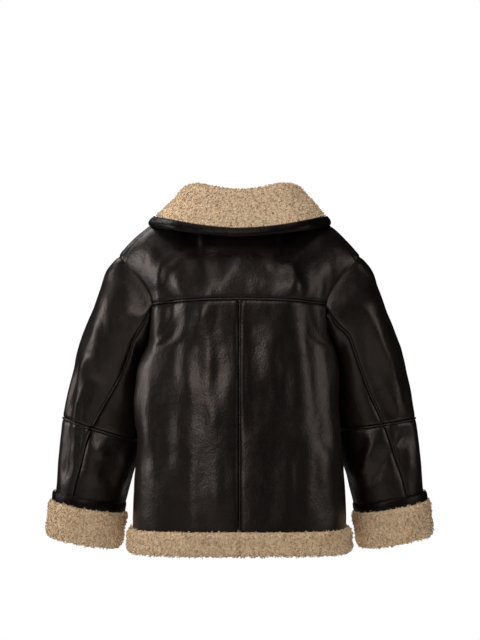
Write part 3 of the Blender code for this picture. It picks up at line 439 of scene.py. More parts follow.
# ---------------------------------------------------------------- welts, bindings and wool
# a welt's section: across the strip and out from the leather
WELT_SECTION = (
    (-0.0017, -0.0036), (-0.0018, -0.0014), (-0.0015, 0.0002), (-0.0008, 0.0010),
    (0.0, 0.0012), (0.0008, 0.0010), (0.0015, 0.0002), (0.0018, -0.0014),
    (0.0017, -0.0036), (0.0006, -0.0040), (-0.0006, -0.0040),
)
# sections of the cuffs and the hem: out from the sleeve or the body's edge, and up
CUFF_WOOL_SECTION = (
    (-0.0062, 0.0117), (-0.0056, 0.0050), (0.0002, 0.0008), (0.0074, 0.0012),
    (0.0097, 0.0060), (0.0098, 0.0380), (0.0090, 0.0680), (0.0064, 0.0735),
    (0.0012, 0.0730), (0.0012, 0.0400), (0.0012, 0.0117),
)
HEM_WOOL_SECTION = (
    (-0.0070, -0.0050), (0.0000, -0.0040), (0.0010, 0.0012), (0.0040, 0.0006),
    (0.0080, -0.0040), (0.0090, -0.0200), (0.0088, -0.0365), (0.0046, -0.0408),
    (-0.0044, -0.0404), (-0.0078, -0.0320), (-0.0080, -0.0140),
)
CUFF_STRIP_SECTION = (
    (0.0010, 0.0712), (0.0046, 0.0712), (0.0060, 0.0745), (0.0064, 0.0800),
    (0.0061, 0.0865), (0.0050, 0.0915), (0.0030, 0.0942), (0.0008, 0.0940),
)
# how much nearer to the sleeve the cuff lies on the side towards the body
CUFF_INNER = 0.0040
# across the collar's strip: place, share of the thickness
COLLAR_STRIP = (
    (0.0, 0.70), (0.10, 0.98), (0.30, 1.10), (0.55, 1.10), (0.78, 0.95), (0.92, 0.66), (1.0, 0.24),
)
COLLAR_WOOL_INSET = 0.0036
# wool locks: how far they stray, how steeply they stand, their turns, steps and sides, how deep
# their roots are sunk, their taper and tilt, and the way they are combed
LOCK_STRAY = 0.45
LOCK_RISE = (0.20, 0.80)
LOCK_TURNS = (0.55, 1.15)
LOCK_STEPS = 6
LOCK_SIDES = 3
LOCK_SUNK = 0.0008
LOCK_TAPER = 0.60
LOCK_TILT = 0.3
WOOL_COMB = (0.0, 0.0, -0.3)
# least and greatest place in its own stretch, length, width and thickness of a lock, as shares
LOCK_PLACE = (0.08, 0.92)
LOCK_LONG = (0.75, 1.2)
LOCK_WIDE = (0.7, 1.25)
LOCK_THICK = (0.85, 1.2)
# how far before the end of a grid the last place between its points lies
PAST_LAST = 1.001
WOOL_BUMP = ((0.0042, 0.0042, 0.0042), 0.0011, 5)
LINING_BUMP = ((0.0050, 0.0050, 0.0050), 0.0012, 6)
LINING_TONE = ((0.006, 0.006, 0.006), 0.5, 9)
LINING_TIP = 0.60
MIDDLE_TONE = 0.5
# the skin under the locks takes the colour from this far up a lock: darker, as painted shade deep in the pile
SHADED_BASE_TIP = 0.36

# ---------------------------------------------------------------- finishes
LEATHER = "waxed leather"
BINDING = "binding leather"
WOOL = "curled wool"
THREAD = "waxed thread"
TAPE = "woven tape"
METAL = "darkened metal"
FLOOR = "pale floor"
WHITE = (1, 1, 1, 1)
# each noise: size of its grain in metres, detail, roughness; stops are places on a colour ramp
CLOUD_NOISE = (0.050, 3.0)
CLOUD_STOPS = (0.32, 0.72)
PATCH_SIZE = 0.010
PATCH_HEIGHT = 0.0005
PORE_SIZE = 0.0009
PORE_HEIGHT = 0.00006
ROUGHNESS_SWAY = 0.05
WAX_ROUGHNESS = 0.35
BINDING_SHINE = 0.14
LEATHER_TINT = (1.0, 0.82, 0.74)
WOOL_CLOUD = 0.030
WOOL_STOPS = (0.0, 0.75)
TONE_RANGE = (0.80, 1.18)
CLOUD_RANGE = (0.90, 1.10)
WOOL_ROUGHNESS = 0.92
WOOL_SHINE = 0.2
WOOL_SHEEN = 0.2
WOOL_SHEEN_ROUGHNESS = 0.5
# tufts in the wool: their size, how they wander, where a tuft ends, how much darker the painted shade between
# tufts and lighter the painted highlight on their crests, and its height
TUFT_SIZE = 0.0052
STIR_NOISE = (0.005, 1.0)
TUFT_STIR = 0.004
TUFT_EDGES = (0.10, 0.58)
TUFT_PAINTED_SHADE = (0.80, 1.16)
TUFT_HEIGHT = 0.0012
FUZZ_NOISE = (0.0012, 3.0, 0.6)
FUZZ_HEIGHT = 0.0003
THREAD_TWIST = 0.004
THREAD_SWAY = 1.5
THREAD_DARK = 0.6
THREAD_STOPS = (0.2, 0.8)
THREAD_HEIGHT = 0.0001
THREAD_ROUGHNESS = 0.6
TAPE_RIB = 0.004
TAPE_SWAY = 0.4
TAPE_CONTRAST = (0.0, 0.5)
TAPE_STOPS = (0.1, 0.9)
TAPE_COLOURS = ((0.006, 0.005, 0.005), (0.02, 0.017, 0.016))
TAPE_HEIGHT = 0.0002
TAPE_ROUGHNESS = 0.85
RUB_NOISE = (0.006, 4.0, 0.6)
RUB_STOPS = (0.3, 0.75)
RUB_HEIGHT = 0.00005
METAL_COLOURS = ((0.16, 0.14, 0.12), (0.42, 0.38, 0.32))
METAL_ROUGHNESS = (0.42, 0.24)
FLOOR_COLOUR = (0.86, 0.86, 0.85)
FLOOR_ROUGHNESS = 0.8

# ---------------------------------------------------------------- sewing and trim
# a stitch's points and sides, how deep its ends sink and how thin they are there
STITCH_POINTS = 4
STITCH_SIDES = 4
STITCH_SINK = 0.0006
STITCH_END = 0.5
# how far beside and over a seam its stitches lie
STITCH_BESIDE = 0.0036
STITCH_LIFT = -0.0010
FRONT_STITCH_BESIDE = 0.0055
FRONT_STITCH_LIFT = 0.0002
FRONT_STITCH_ENDS = (0.004, 0.010)
CUFF_STITCH_PLACE = (0.0063, 0.0765)
LEAST_STEP = 0.001
# how far short of its seam's two ends a welt stops, and of the elbow and of the armhole
YOKE_WELT_ENDS = (0.003, 0.003)
BACK_WELT_ENDS = (0.0085, 0.0062)
ELBOW_CLEAR = 0.0062
ARMHOLE_CLEAR = 0.004
# a panel's edges: their number among its seams, and the rows or columns of its grid
EDGES = {
    "bottom": (0, (0, slice(None))),
    "first": (2, (slice(None), 0)),
    "last": (3, (slice(None), -1)),
}
STRIP_PUCKER = ((0.006, 0.006, 0.02), 0.0005, 7)
STRIP_WAVE = ((0.03, 0.03, 0.03), 0.0010, 8)
STRIP_POINTS = 17
STRIP_STITCH_PLACE = 0.10
CUFF_COLUMNS = 120
CUFF_TURNS = np.arange(CUFF_COLUMNS) / CUFF_COLUMNS
CUFF_STRIP_POINTS = 20
AXIS_STEP = 0.05
CUFF_SECTION_POINTS = 56
HEM_SECTION_POINTS = 44
HEM_GAP = 0.00015
# nearer to the coat's middle than this, an end of the hem lies at a side seam
HEM_SIDE_DEPTH = 0.03
# locks stand where the section is further out than this, or lower
CUFF_LOCKS_FROM = (0.0025, 0.0040)
HEM_LOCKS_FROM = (0.0014, -0.0380)
COLLAR_FINE = (221, 40)
COLLAR_COMB = (0.0, 0.0, -0.5)
COLLAR_LOCK_SHARE = 0.85
# the collar's skin under its locks takes the colour from this far up a lock: darker, as painted shade deep in the
# pile
COLLAR_SHADED_BASE_TIP = 0.50
LOWER_SLEEVE_COVERED = 0.36
WOOL_SEED = 11

# ---------------------------------------------------------------- flat cuts: width, length, area
PANEL_CUTS = {
    "back_yoke": (0.44, 0.23, 0.080),
    "back_side": (0.27, 0.43, 0.111),
    "front_side": (0.27, 0.61, 0.148),
    "sleeve_side_under_upper": (0.19, 0.26, 0.034),
    "sleeve_side_under_lower": (0.20, 0.24, 0.041),
    "sleeve_side_top_upper": (0.30, 0.36, 0.086),
    "sleeve_side_top_lower": (0.24, 0.24, 0.050),
}
CUFF_CUT = (0.46, 0.09, 0.0390)
CUFF_STRIP_CUT = (0.46, 0.027, 0.0120)
HEM_CUT = (0.27, 0.064, 0.0165)
COLLAR_CUT = (0.86, 0.14, 0.0880)
COLLAR_STRIP_CUT = (1.02, 0.036, 0.0350)
ZIP_TAPE_CUT = (0.014, 0.56, 0.0042)

# ---------------------------------------------------------------- zip teeth
TOOTH_PITCH = 0.0024
TOOTH_FIRST = 0.006
TOOTH_CLEAR = 0.0006
TOOTH_REACH = 0.0014
TOOTH_PROUD = 0.0012
TOOTH_TOP = 0.8
TAPE_LEVEL = 0.0004
SLIDER_EASE = 0.0004
PULL_EASE = 0.0003
EASED_ANGLE = math.radians(40)
EASED_STEPS = 2
TOOTH_SHAPE = (
    (0.0, -0.0005), (0.0010, -0.00035), (0.0032, -0.0006), (0.0032, 0.0006), (0.0010, 0.00035),
    (0.0, 0.0005),
)
TOOTH_FACES = ((0, 1, 2, 5), (2, 3, 4, 5))

# ---------------------------------------------------------------- studio
SENSOR = 36.0
FLOOR_POINTS = 96
# how far from the coat's origin the floor starts to fade into the surround, and where it has
FLOOR_RIM = (1.70, 2.80)
LIGHT_AWAY = 2.6
LIGHT_AIM = (0.0, 0.0, -0.3)
# how far round to the right of the camera and how high, in degrees, width and height, power
STUDIO_LIGHTS = (
    ("left key light", -20, 8, (0.7, 0.9), 15.0),
    ("upper key light", -4, 32, (0.7, 0.6), 10.0),
    ("left side light", -92, 10, (0.8, 1.2), 22.0),
    ("right side light", 70, 6, (1.4, 1.2), 12.0),
    ("left back light", -125, 45, (1.0, 1.0), 14.0),
    ("left top light", -30, 72, (1.8, 1.8), 12.0),
    ("right top light", 30, 72, (1.8, 1.8), 8.0),
    ("top light", 0, 89, (1.8, 1.8), 7.0),
    ("far light", 180, 25, (1.0, 1.0), 40.0),
)


# ================================================================ curves and grids
def ease(t):
    """The share of a rise that starts and ends level."""
    return t * t * (3 - 2 * t)


def spline(knots, values, at):
    """The smooth curve through the values at the knots, read at the given places."""
    knots, values = np.asarray(knots, float), np.asarray(values, float)
    at = np.clip(np.asarray(at, float), knots[0], knots[-1])
    slope = np.gradient(values, knots, axis=0)
    i = np.clip(np.searchsorted(knots, at, side="right") - 1, 0, len(knots) - 2)
    span = knots[i + 1] - knots[i]
    t = (at - knots[i]) / span
    if values.ndim > 1:
        t, span = t[..., None], span[..., None]
    rise = ease(t)
    return (
        (1 - rise) * values[i]
        + rise * values[i + 1]
        + span * ((t * (1 - t) ** 2) * slope[i] - (t * t * (1 - t)) * slope[i + 1])
    )


def run_lengths(points):
    """How far each point of a run lies from its first."""
    return np.r_[0, np.cumsum(np.linalg.norm(np.diff(points, axis=0), axis=1))]


def read_run(at, lengths, values):
    """The points or directions along a run, read at the given lengths."""
    return np.stack([np.interp(at, lengths, values[:, k]) for k in range(3)], axis=-1)


def along(points, steps):
    """Points evenly spaced along the smooth curve through the given ones."""
    points = np.asarray(points, float)
    lengths = run_lengths(points)
    return spline(lengths / lengths[-1], points, np.linspace(0, 1, steps + 1))


def unit(vectors):
    return vectors / np.maximum(np.linalg.norm(vectors, axis=-1, keepdims=True), LEAST_LENGTH)


def hermite(start, end, leave, arrive, t):
    """From start to end, leaving and arriving in the given directions."""
    rise = ease(t)
    return (1 - rise) * start + rise * end + (t * (1 - t) ** 2) * leave - (t * t * (1 - t)) * arrive


def quarter(roundness, columns):
    """A quarter of a rounded body section, evenly divided: share of the width and of the depth."""
    angle = np.linspace(0, math.pi / 2, SECTION_SAMPLES)
    wide = np.sin(angle) ** (2 / roundness)
    deep = 1 - np.cos(angle) ** (2 / roundness)
    length = np.r_[0, np.cumsum(np.hypot(SECTION_ASPECT * np.diff(wide), np.diff(deep)))]
    even = np.linspace(0, length[-1], columns + 1)
    return np.interp(even, length, wide), np.interp(even, length, deep)


def rim_of(rows, columns):
    """Rows and columns of the points round the edge of a grid, in order."""
    across, up = np.arange(columns - 1), np.arange(rows - 1)
    row = np.r_[0 * across, up, rows - 1 + 0 * across, rows - 1 - up]
    column = np.r_[across, columns - 1 + 0 * up, columns - 1 - across, 0 * up]
    return row, column


def grid_normals(grid):
    """The outward direction at each point of a grid whose rows rise and whose columns run round."""
    return unit(np.cross(np.gradient(grid, axis=1), np.gradient(grid, axis=0)))


# ================================================================ the solid forms
def window(place, start, end, fade):
    """1 between start and end, falling smoothly to 0 within the fade outside them."""
    low, high = min(start, end), max(start, end)
    outside = np.maximum(np.maximum(low - place, place - high), 0)
    return np.where(outside < fade, 0.5 + 0.5 * np.cos(math.pi * outside / fade), 0.0)


def drape(points):
    """The body with its long soft folds: each moves the cloth out or in, round the body's axis."""
    points = np.array(points, float)
    x, y, z = points[..., 0], points[..., 1], points[..., 2]
    lift = np.zeros_like(x)
    for folds, facing in ((BACK_FOLDS, -1.0), (FRONT_FOLDS, 1.0)):
        shown = np.clip(facing * y / FOLD_FACING, 0, 1)
        for x_top, x_bottom, top, bottom, half, height in folds:
            share = np.clip((top - z) / (top - bottom), 0, 1)
            away = (x - x_top - share * (x_bottom - x_top)) / half
            lift += shown * height * np.exp(-away * away) * window(z, bottom, top, FOLD_END)
    out = unit(np.stack([x * FOLD_SIDEWAYS, y, np.zeros_like(y)], axis=-1))
    points = points + lift[..., None] * out
    for side, (amount, top, bottom, depth, half) in SIDE_FULLNESS.items():
        share = np.clip(SIDES[side] * x / SIDE_REACH, 0, 1) ** EDGE_POWER
        share = share * np.exp(-(((y - depth) / half) ** 2)) * window(z, bottom, top, SIDE_FADE)
        points[..., 0] += SIDES[side] * amount * share
    return points


def body_size(height, column):
    table = np.array(BODY)
    return spline(table[:, 0], table[:, column], height)


def skirt_heights(columns_share):
    """Heights of the rows from the leather's lower edge to the armpit, for each column."""
    low = SKIRT_CENTRE + (SKIRT_SIDE - SKIRT_CENTRE) * columns_share**2
    t = np.linspace(0, 1, SKIRT_ROWS + 1)[:, None]
    return low[None, :] + t * (ARMPIT - low[None, :])


def skirt_rows(front, start_x):
    """Rows of one half from the lower edge to the armpit, from the middle to the side seam."""
    wide, deep = quarter(FRONT_ROUNDNESS if front else BACK_ROUNDNESS, HALF_COLUMNS)
    z = skirt_heights(np.linspace(0, 1, HALF_COLUMNS + 1))
    half, depth = body_size(z, 1), body_size(z, 3 if front else 2)
    x = start_x + (half - start_x) * wide
    y = depth * (1 - deep) * (1 if front else -1)
    return np.stack([x, y, z], axis=-1)


def arm_rows(front, start_x, edge, middle):
    """Rows between the armpit and the yoke seam or the chest row, cut off at the armhole."""
    wide, deep = quarter(FRONT_ROUNDNESS if front else BACK_ROUNDNESS, FINE_COLUMNS)
    depth = body_size(ARMPIT, 3 if front else 2) * (1 if front else -1)
    share = np.linspace(0, 1, len(edge))[:, None]
    middle_y = depth + share * (middle[0] - depth)
    middle_z = ARMPIT + share * (middle[1] - ARMPIT)
    last = np.interp(1 - edge[:, None, 1] / middle_y, deep, np.linspace(0, 1, FINE_COLUMNS + 1))
    columns = np.linspace(0, 1, HALF_COLUMNS + 1)
    fine = np.linspace(0, 1, FINE_COLUMNS + 1)
    reach = (edge[:, None, 0] - start_x) / np.interp(last, fine, wide)
    x = start_x + reach * np.interp(last * columns, fine, wide)
    y = middle_y * (1 - np.interp(last * columns, fine, deep))
    z = middle_z + (edge[:, None, 2] - middle_z) * columns**2
    return np.stack([x, y, z], axis=-1)


def top_rows(start, end, edge, rise, arrive_neck, arrive_shoulder):
    """Rows from the yoke seam or the chest row over the shoulder, ending on the armhole."""
    past_neck = np.arange(HALF_COLUMNS + 1) - NECK_COLUMNS + SHOULDER_BLEND
    to_shoulder = np.clip(past_neck / (2 * SHOULDER_BLEND), 0, 1)[:, None]
    arrive = rise * unit((1 - to_shoulder) * arrive_neck + to_shoulder * arrive_shoulder)
    leave = rise * np.broadcast_to(LEAVING, start.shape)
    rows = hermite(start, end, leave, arrive, np.linspace(0, 1, len(edge))[:, None, None])
    pull = np.linspace(0, 1, HALF_COLUMNS + 1)[None, :, None] ** EDGE_POWER
    return rows + pull * (edge[:, None, :] - rows[:, -1:, :])


def back_armhole():
    upper = along(BACK_ARMHOLE, YOKE_ROWS)[::-1]
    lower = along(UNDER_BACK_ARMHOLE, BACK_ARM_ROWS)[::-1]
    return lower, upper


def front_armhole():
    return along(UNDER_FRONT_ARMHOLE, CHEST_ROWS), along(FRONT_ARMHOLE, FRONT_TOP_ROWS)


def top_edge(neck):
    return np.vstack([along(neck, NECK_COLUMNS), along(SHOULDER, HALF_COLUMNS - NECK_COLUMNS)[1:]])


def back_half():
    """Back panel and yoke of the right half."""
    lower, upper = back_armhole()
    arm = arm_rows(False, 0.0, lower, YOKE_MIDDLE)
    panel = np.vstack([skirt_rows(False, 0.0), arm[1:]])
    yoke = top_rows(
        arm[-1], top_edge(BACK_NECK), upper, YOKE_RISE, YOKE_ARRIVES_NECK, YOKE_ARRIVES_SHOULDER
    )
    return panel, yoke


def front_half():
    lower, upper = front_armhole()
    arm = arm_rows(True, ZIP_HALF, lower, CHEST_MIDDLE)
    top = top_rows(
        arm[-1], top_edge(FRONT_NECK), upper, CHEST_RISE, CHEST_ARRIVES_NECK, CHEST_ARRIVES_SHOULDER
    )
    return np.vstack([skirt_rows(True, ZIP_HALF), arm[1:], top[1:]])


def on_side(grid, side):
    """The right half's grid on the given side, before the folds, which differ left and right."""
    return grid * np.array([SIDES[side], 1.0, 1.0])


def armhole_ring(side):
    """The armhole from the shoulder seam down the back, under the arm and up the front."""
    back_low, back_high = back_armhole()
    front_low, front_high = front_armhole()
    ring = np.vstack([back_high[::-1], back_low[::-1][1:], front_low[1:], front_high[1:-1]])
    return drape(on_side(ring, side))


def sleeve_section(place, side):
    """Middle, outward half axis and forward half width of the sleeve at a place along it."""
    table = np.array(SLEEVE)
    _, out_x, out_z, in_x, in_z, mid_y, half_y = spline(table[:, 0], table[:, :SLEEVE_FORM], place)
    skew = ELBOW_SKEW[side] * window(place, ELBOW, ELBOW, ELBOW_SKEW_REACH)
    outer, inner = np.array([out_x, mid_y, out_z]), np.array([in_x, mid_y, in_z + skew])
    return (outer + inner) / 2, (outer - inner) / 2, half_y


def around(place, side):
    """Share of the way round for each column, with the two seams on columns of their own."""
    table = np.array(SLEEVE)
    columns = [0, BACK_SEAM_COLUMN, FRONT_SEAM_COLUMN, AROUND_SLEEVE]
    left_back, right_back, front = spline(table[:, 0], table[:, SLEEVE_FORM:], place)
    back = left_back if side == "left" else right_back
    return np.interp(np.arange(AROUND_SLEEVE), columns, [0, back, front, 1])


def oval(middle, out_axis, half_y, turn):
    angle = 2 * math.pi * turn[:, None]
    return middle + np.cos(angle) * out_axis - np.sin(angle) * half_y * FORWARD


def sleeve_fold(place, turn, side):
    lift = np.zeros_like(turn)
    for start, start_turn, end, end_turn, half, height in SLEEVE_FOLDS[side]:
        share = np.clip((place - start) / (end - start), 0, 1)
        away = (turn - start_turn - share * (end_turn - start_turn) + 0.5) % 1 - 0.5
        lift += height * np.exp(-((away / half) ** 2)) * window(place, start, end, SLEEVE_FOLD_END)
    return lift * window(place, 0, FOLDS_STOP, FOLDS_FADE)


def sleeve_point_ring(place, side, ring):
    """The sleeve's outer points at one place along it, on the right-hand form."""
    turn = around(max(place, FIRST_SECTION), side)
    middle, out_axis, half_y = sleeve_section(max(place, FIRST_SECTION), side)
    here = oval(middle, out_axis, half_y, turn)
    radial = unit(here - middle)
    if place < FIRST_SECTION:
        spread = CAP_SPREAD * (1 + np.cos(2 * math.pi * turn))[:, None]
        later = oval(*sleeve_section(FIRST_SECTION + CAP_STEP, side), turn)
        span = np.linalg.norm(here - ring, axis=1)[:, None]
        leave = span * unit(np.array(SLEEVE_AXIS) + spread * radial)
        t = np.full((1, 1), place / FIRST_SECTION)
        here = hermite(ring, here, leave, span * unit(later - here), t)
    return here + sleeve_fold(place, turn, side)[:, None] * radial


def sleeve_grid(side):
    """The whole sleeve: rows from the armhole to the cuff, columns round it."""
    ring = on_side(armhole_ring(side), side)
    places = np.r_[
        np.linspace(0, ELBOW, UPPER_SLEEVE_ROWS + 1),
        np.linspace(ELBOW, cuff_place(SLEEVE_STOP), LOWER_SLEEVE_ROWS + 1)[1:],
    ]
    return on_side(np.stack([sleeve_point_ring(p, side, ring) for p in places]), side)


def cuff_place(up):
    """Place along the sleeve of a height above the fold at its bottom."""
    return 1 - (1 - CUFF_TOP) * up / CUFF_LENGTH


def shared_depths(grids):
    """For each grid, the way from its outer points to its inner ones, the same for all that meet."""
    gathered = {}
    keyed = {}
    for name, grid in grids.items():
        tube = name.startswith("sleeve")
        keyed[name] = [tuple(key) for key in np.round(grid.reshape(-1, 3), MEETING_PLACES) + 0.0]
        for key, normal in zip(keyed[name], grid_normals(grid).reshape(-1, 3)):
            gathered.setdefault(key, {}).setdefault(tube, []).append(normal)
    depths = {}
    for name, keys in keyed.items():
        steps = []
        for key in keys:
            middle = np.mean([unit(np.sum(met, axis=0)) for met in gathered[key].values()], axis=0)
            steps.append(-unit(middle) * SKIN / max(np.linalg.norm(middle), LEAST_MITRE))
        depths[name] = np.array(steps).reshape(grids[name].shape)
    return depths


def drawn_back(grid, depth):
    """Outer and inner grids with the edges drawn back half a seam gap, square to the seam's face."""
    row, column = rim_of(*grid.shape[:2])
    edge, deep = grid[row, column], depth[row, column]
    side = unit(np.cross(np.roll(edge, -1, axis=0) - edge, np.roll(deep, -1, axis=0) + deep))
    before = np.roll(side, 1, axis=0)
    square = np.maximum(1 + np.sum(side * before, axis=1), LEAST_CORNER)[:, None]
    outer = np.array(grid)
    outer[row, column] += SEAM_GAP / 2 * (side + before) / square
    return outer, outer + depth


def shearling_grids():
    """Every leather and wool panel by name, as the grid of its outer points."""
    panel, yoke = back_half()
    front = front_half()
    left, right = on_side(yoke, "left")[:, ::-1], on_side(yoke, "right")
    grids = {"back_yoke": drape(np.concatenate([left, right[:, 1:]], axis=1))}
    for side in SIDES:
        back, fore = on_side(panel, side), on_side(front, side)
        if side == "left":
            back = back[:, ::-1]
        else:
            fore = fore[:, ::-1]
        grids[f"back_{side}"] = drape(back)
        grids[f"front_{side}"] = drape(fore)
        grids.update(sleeve_panels(side))
    return grids


def sleeve_panels(side):
    sleeve = sleeve_grid(side)
    under = range(BACK_SEAM_COLUMN, FRONT_SEAM_COLUMN + 1)
    top = range(FRONT_SEAM_COLUMN, AROUND_SLEEVE + BACK_SEAM_COLUMN + 1)
    rows = {"upper": slice(0, UPPER_SLEEVE_ROWS + 1), "lower": slice(UPPER_SLEEVE_ROWS, None)}
    panels = {}
    for part, columns in (("under", under), ("top", top)):
        picked = sleeve[:, [c % AROUND_SLEEVE for c in columns]]
        for level, run in rows.items():
            grid = picked[run][::-1]
            panels[f"sleeve_{side}_{part}_{level}"] = grid if side == "left" else grid[:, ::-1]
    return panels


def shortened(points, start, end):
    """A run of points with its first and last moved in by the given lengths."""
    points = np.array(points)
    points[0] += start * unit(points[1] - points[0])
    points[-1] += end * unit(points[-2] - points[-1])
    return points


def collar_point(turn, path):
    """A point of the collar's middle sheet: turn from -1 to 1 round it, path from neck to edge."""
    turn, path = np.broadcast_arrays(np.asarray(turn, float), np.asarray(path, float))
    table_turns = np.array([row[0] for row in COLLAR])
    stations = np.array([[row[k] for row in COLLAR] for k in range(1, 5)]) * MM
    mirror = np.array([-1.0, 1.0, 1.0])
    turns = np.r_[-table_turns[:0:-1], table_turns]
    rows = np.concatenate([stations[:, :0:-1] * mirror, stations], axis=1)
    neck, fold, middle, edge = [spline(turns, row, turn) for row in rows]
    at, aside, up = np.array(COLLAR_RIGHT).T
    fuller = np.stack([np.interp(turn, at, aside), 0 * turn, np.interp(turn, at, up)], axis=-1) * MM
    fold, middle = fold + fuller / 2, middle + fuller
    up = UP * np.linalg.norm(fold - neck, axis=-1)[..., None]
    over = FOLD_TURN * (middle - neck) * LEVEL
    down = FALL * (edge - fold)
    spans = (
        (neck, fold, STAND * up, over),
        (fold, middle, over, down),
        (middle, edge, down, FALL_END * (edge - middle)),
    )
    made = np.zeros(turn.shape + (3,))
    for k, span in enumerate(spans):
        first, last = COLLAR_KNOTS[k : k + 2]
        inside = (path >= first) & (path <= last)
        t = np.clip((path - first) / (last - first), 0, 1)[..., None]
        made[inside] = hermite(*span, t)[inside]
    return made


def collar_normal(turn, path):
    """Towards the wool: away from the neck on the turned-down part."""
    low, high = np.clip(path - NORMAL_STEP, 0, 1), np.clip(path + NORMAL_STEP, 0, 1)
    down = collar_point(turn, high) - collar_point(turn, low)
    left, right = np.clip(turn - NORMAL_STEP, -1, 1), np.clip(turn + NORMAL_STEP, -1, 1)
    round_ = collar_point(right, path) - collar_point(left, path)
    return unit(np.cross(down, round_))


def collar_sheet(turn, path, thick):
    """Points over and under the collar's middle sheet, the upper ones on the wool side."""
    middle = collar_point(turn, path) + COLLAR_LIFT * UP
    half = collar_normal(turn, path) * thick[..., None] / 2
    return middle + half, middle - half


# ================================================================ fine surfaces
def refined(grid, rows, columns):
    """The same surface read at finer places, given in rows and columns of the coarse grid."""
    tall, wide = grid.shape[:2]
    down = spline(np.arange(tall), grid.reshape(tall, -1), rows).reshape(len(rows), wide, -1)
    across = down.transpose(1, 0, 2).reshape(wide, -1)
    fine = spline(np.arange(wide), across, columns).reshape(len(columns), len(rows), -1)
    return fine.transpose(1, 0, 2)


def even_places(grid, axis, spacing):
    """Places along one axis of a grid, evenly spaced in metres and closer together at its ends."""
    steps = np.linalg.norm(np.diff(grid, axis=axis), axis=-1).mean(axis=1 - axis)
    length = np.r_[0, np.cumsum(steps)]
    near = np.array(SEAM_STEPS)
    inside = length[-1] - 2 * near[-1]
    even = near[-1] + np.linspace(0, inside, max(2, round(inside / spacing)) + 1)
    places = np.r_[near[:-1], even, length[-1] - near[-2::-1]]
    return np.interp(places, length, np.arange(len(length)))


def arc_lengths(grid, axis):
    """How far each point of a grid lies along its own row or column."""
    steps = np.linalg.norm(np.diff(grid, axis=axis), axis=-1)
    start = np.zeros_like(np.take(steps, [0], axis=axis))
    return np.concatenate([start, np.cumsum(steps, axis=axis)], axis=axis)


def swell(points, size, amount, seed):
    """A slow unevenness at each point, from -amount to amount: size gives its grain along x, y, z."""
    flat = points.reshape(-1, 3) / np.array(size) + seed * np.array(SEED_STEP)
    read = [noise.noise(Vector(p)) for p in flat]
    return amount * np.array(read).reshape(points.shape[:-1])


def smooth_step(value, low, high):
    return ease(np.clip((value - low) / (high - low), 0, 1))


def creases(points, table):
    """Heights of the listed folds, given in the plane of x and z, tapering at both their ends."""
    lift = np.zeros(points.shape[:-1])
    x, z = points[..., 0] / MM, points[..., 2] / MM
    for x_from, z_from, x_to, z_to, near, far, height, bow in table:
        run = np.array([x_to - x_from, z_to - z_from], float)
        long = np.hypot(*run)
        run = run / long
        share = ((x - x_from) * run[0] + (z - z_from) * run[1]) / long
        away = (x - x_from) * run[1] - (z - z_from) * run[0]
        away = away - 4 * bow * np.clip(share, 0, 1) * (1 - np.clip(share, 0, 1))
        half = np.where(away > 0, far, near)
        ends = smooth_step(share, 0, CREASE_TAPER) * smooth_step(1 - share, 0, CREASE_TAPER)
        lift += height * MM * np.exp(-((away / half) ** 2)) * ends
    return lift


def relief(points, out, region):
    """How far the finer folds lift the cloth, along the given outward directions."""
    lift = np.zeros(points.shape[:-1])
    for (place, facing), table in CREASES.items():
        if place == region:
            sign = -1.0 if facing == "back" else 1.0
            lift += creases(points, table) * smooth_step(sign * out[..., 1], *CREASE_FACING)
    for size, amount, seed in UNEVEN:
        lift += swell(points, size, amount, seed)
    return lift


def region_of(name):
    return name.split("_")[0] + "_" + name.split("_")[1] if name.startswith("sleeve") else "body"


@functools.cache
def coarse_forms():
    grids = shearling_grids()
    return grids, shared_depths(grids)


def seams_of(name):
    """The kinds of seam at the lower, upper, first and last edge of a panel."""
    if name == "back_yoke":
        return "welt", "plain", "armhole", "armhole"
    if name.startswith("sleeve"):
        _, side, part, level = name.split("_")
        ends = ("welt", "armhole") if level == "upper" else ("cuff", "welt")
        seams = ("plain", "welt") if (part == "top") == (side == "left") else ("welt", "plain")
        return (*ends, *seams)
    part, side = name.split("_")
    middle, top = ("welt", "welt") if part == "back" else ("front", "plain")
    seams = ("plain", middle) if (part == "back") == (side == "left") else (middle, "plain")
    return ("hem", top, *seams)


@functools.cache
def fine_panel(name):
    """A panel's outer points, the way to its inner ones, and its folds and seams as heights."""
    grids, depths = coarse_forms()
    rows = even_places(grids[name], 0, PANEL_SPACING)
    columns = even_places(grids[name], 1, PANEL_SPACING)
    grid, depth = refined(grids[name], rows, columns), refined(depths[name], rows, columns)
    out = -unit(depth)
    up, across = arc_lengths(grid, 0), arc_lengths(grid, 1)
    away = (up, up[-1:] - up, across, across[:, -1:] - across)
    dip, fade = np.zeros(up.shape), np.ones(up.shape)
    for kind, distance in zip(seams_of(name), away):
        deep, half, calm = SEAM_DIPS[kind]
        dip += deep * np.exp(-((distance / half) ** 2))
        fade *= smooth_step(distance, 0, calm) if calm else 1
    lift = relief(grid, out, region_of(name)) * fade
    return grid + (lift - dip)[..., None] * out, depth, out


# ================================================================ meshes
def grid_faces(rows, columns, round_rows=False, round_columns=False, start=0):
    """Four-sided faces over a grid of points numbered row by row."""
    tall, wide = rows if round_rows else rows - 1, columns if round_columns else columns - 1
    r, c = np.meshgrid(np.arange(tall), np.arange(wide), indexing="ij")
    r, c, above, beside = r.ravel(), c.ravel(), (r.ravel() + 1) % rows, (c.ravel() + 1) % columns
    return start + np.stack(
        [r * columns + c, r * columns + beside, above * columns + beside, above * columns + c], axis=1
    )


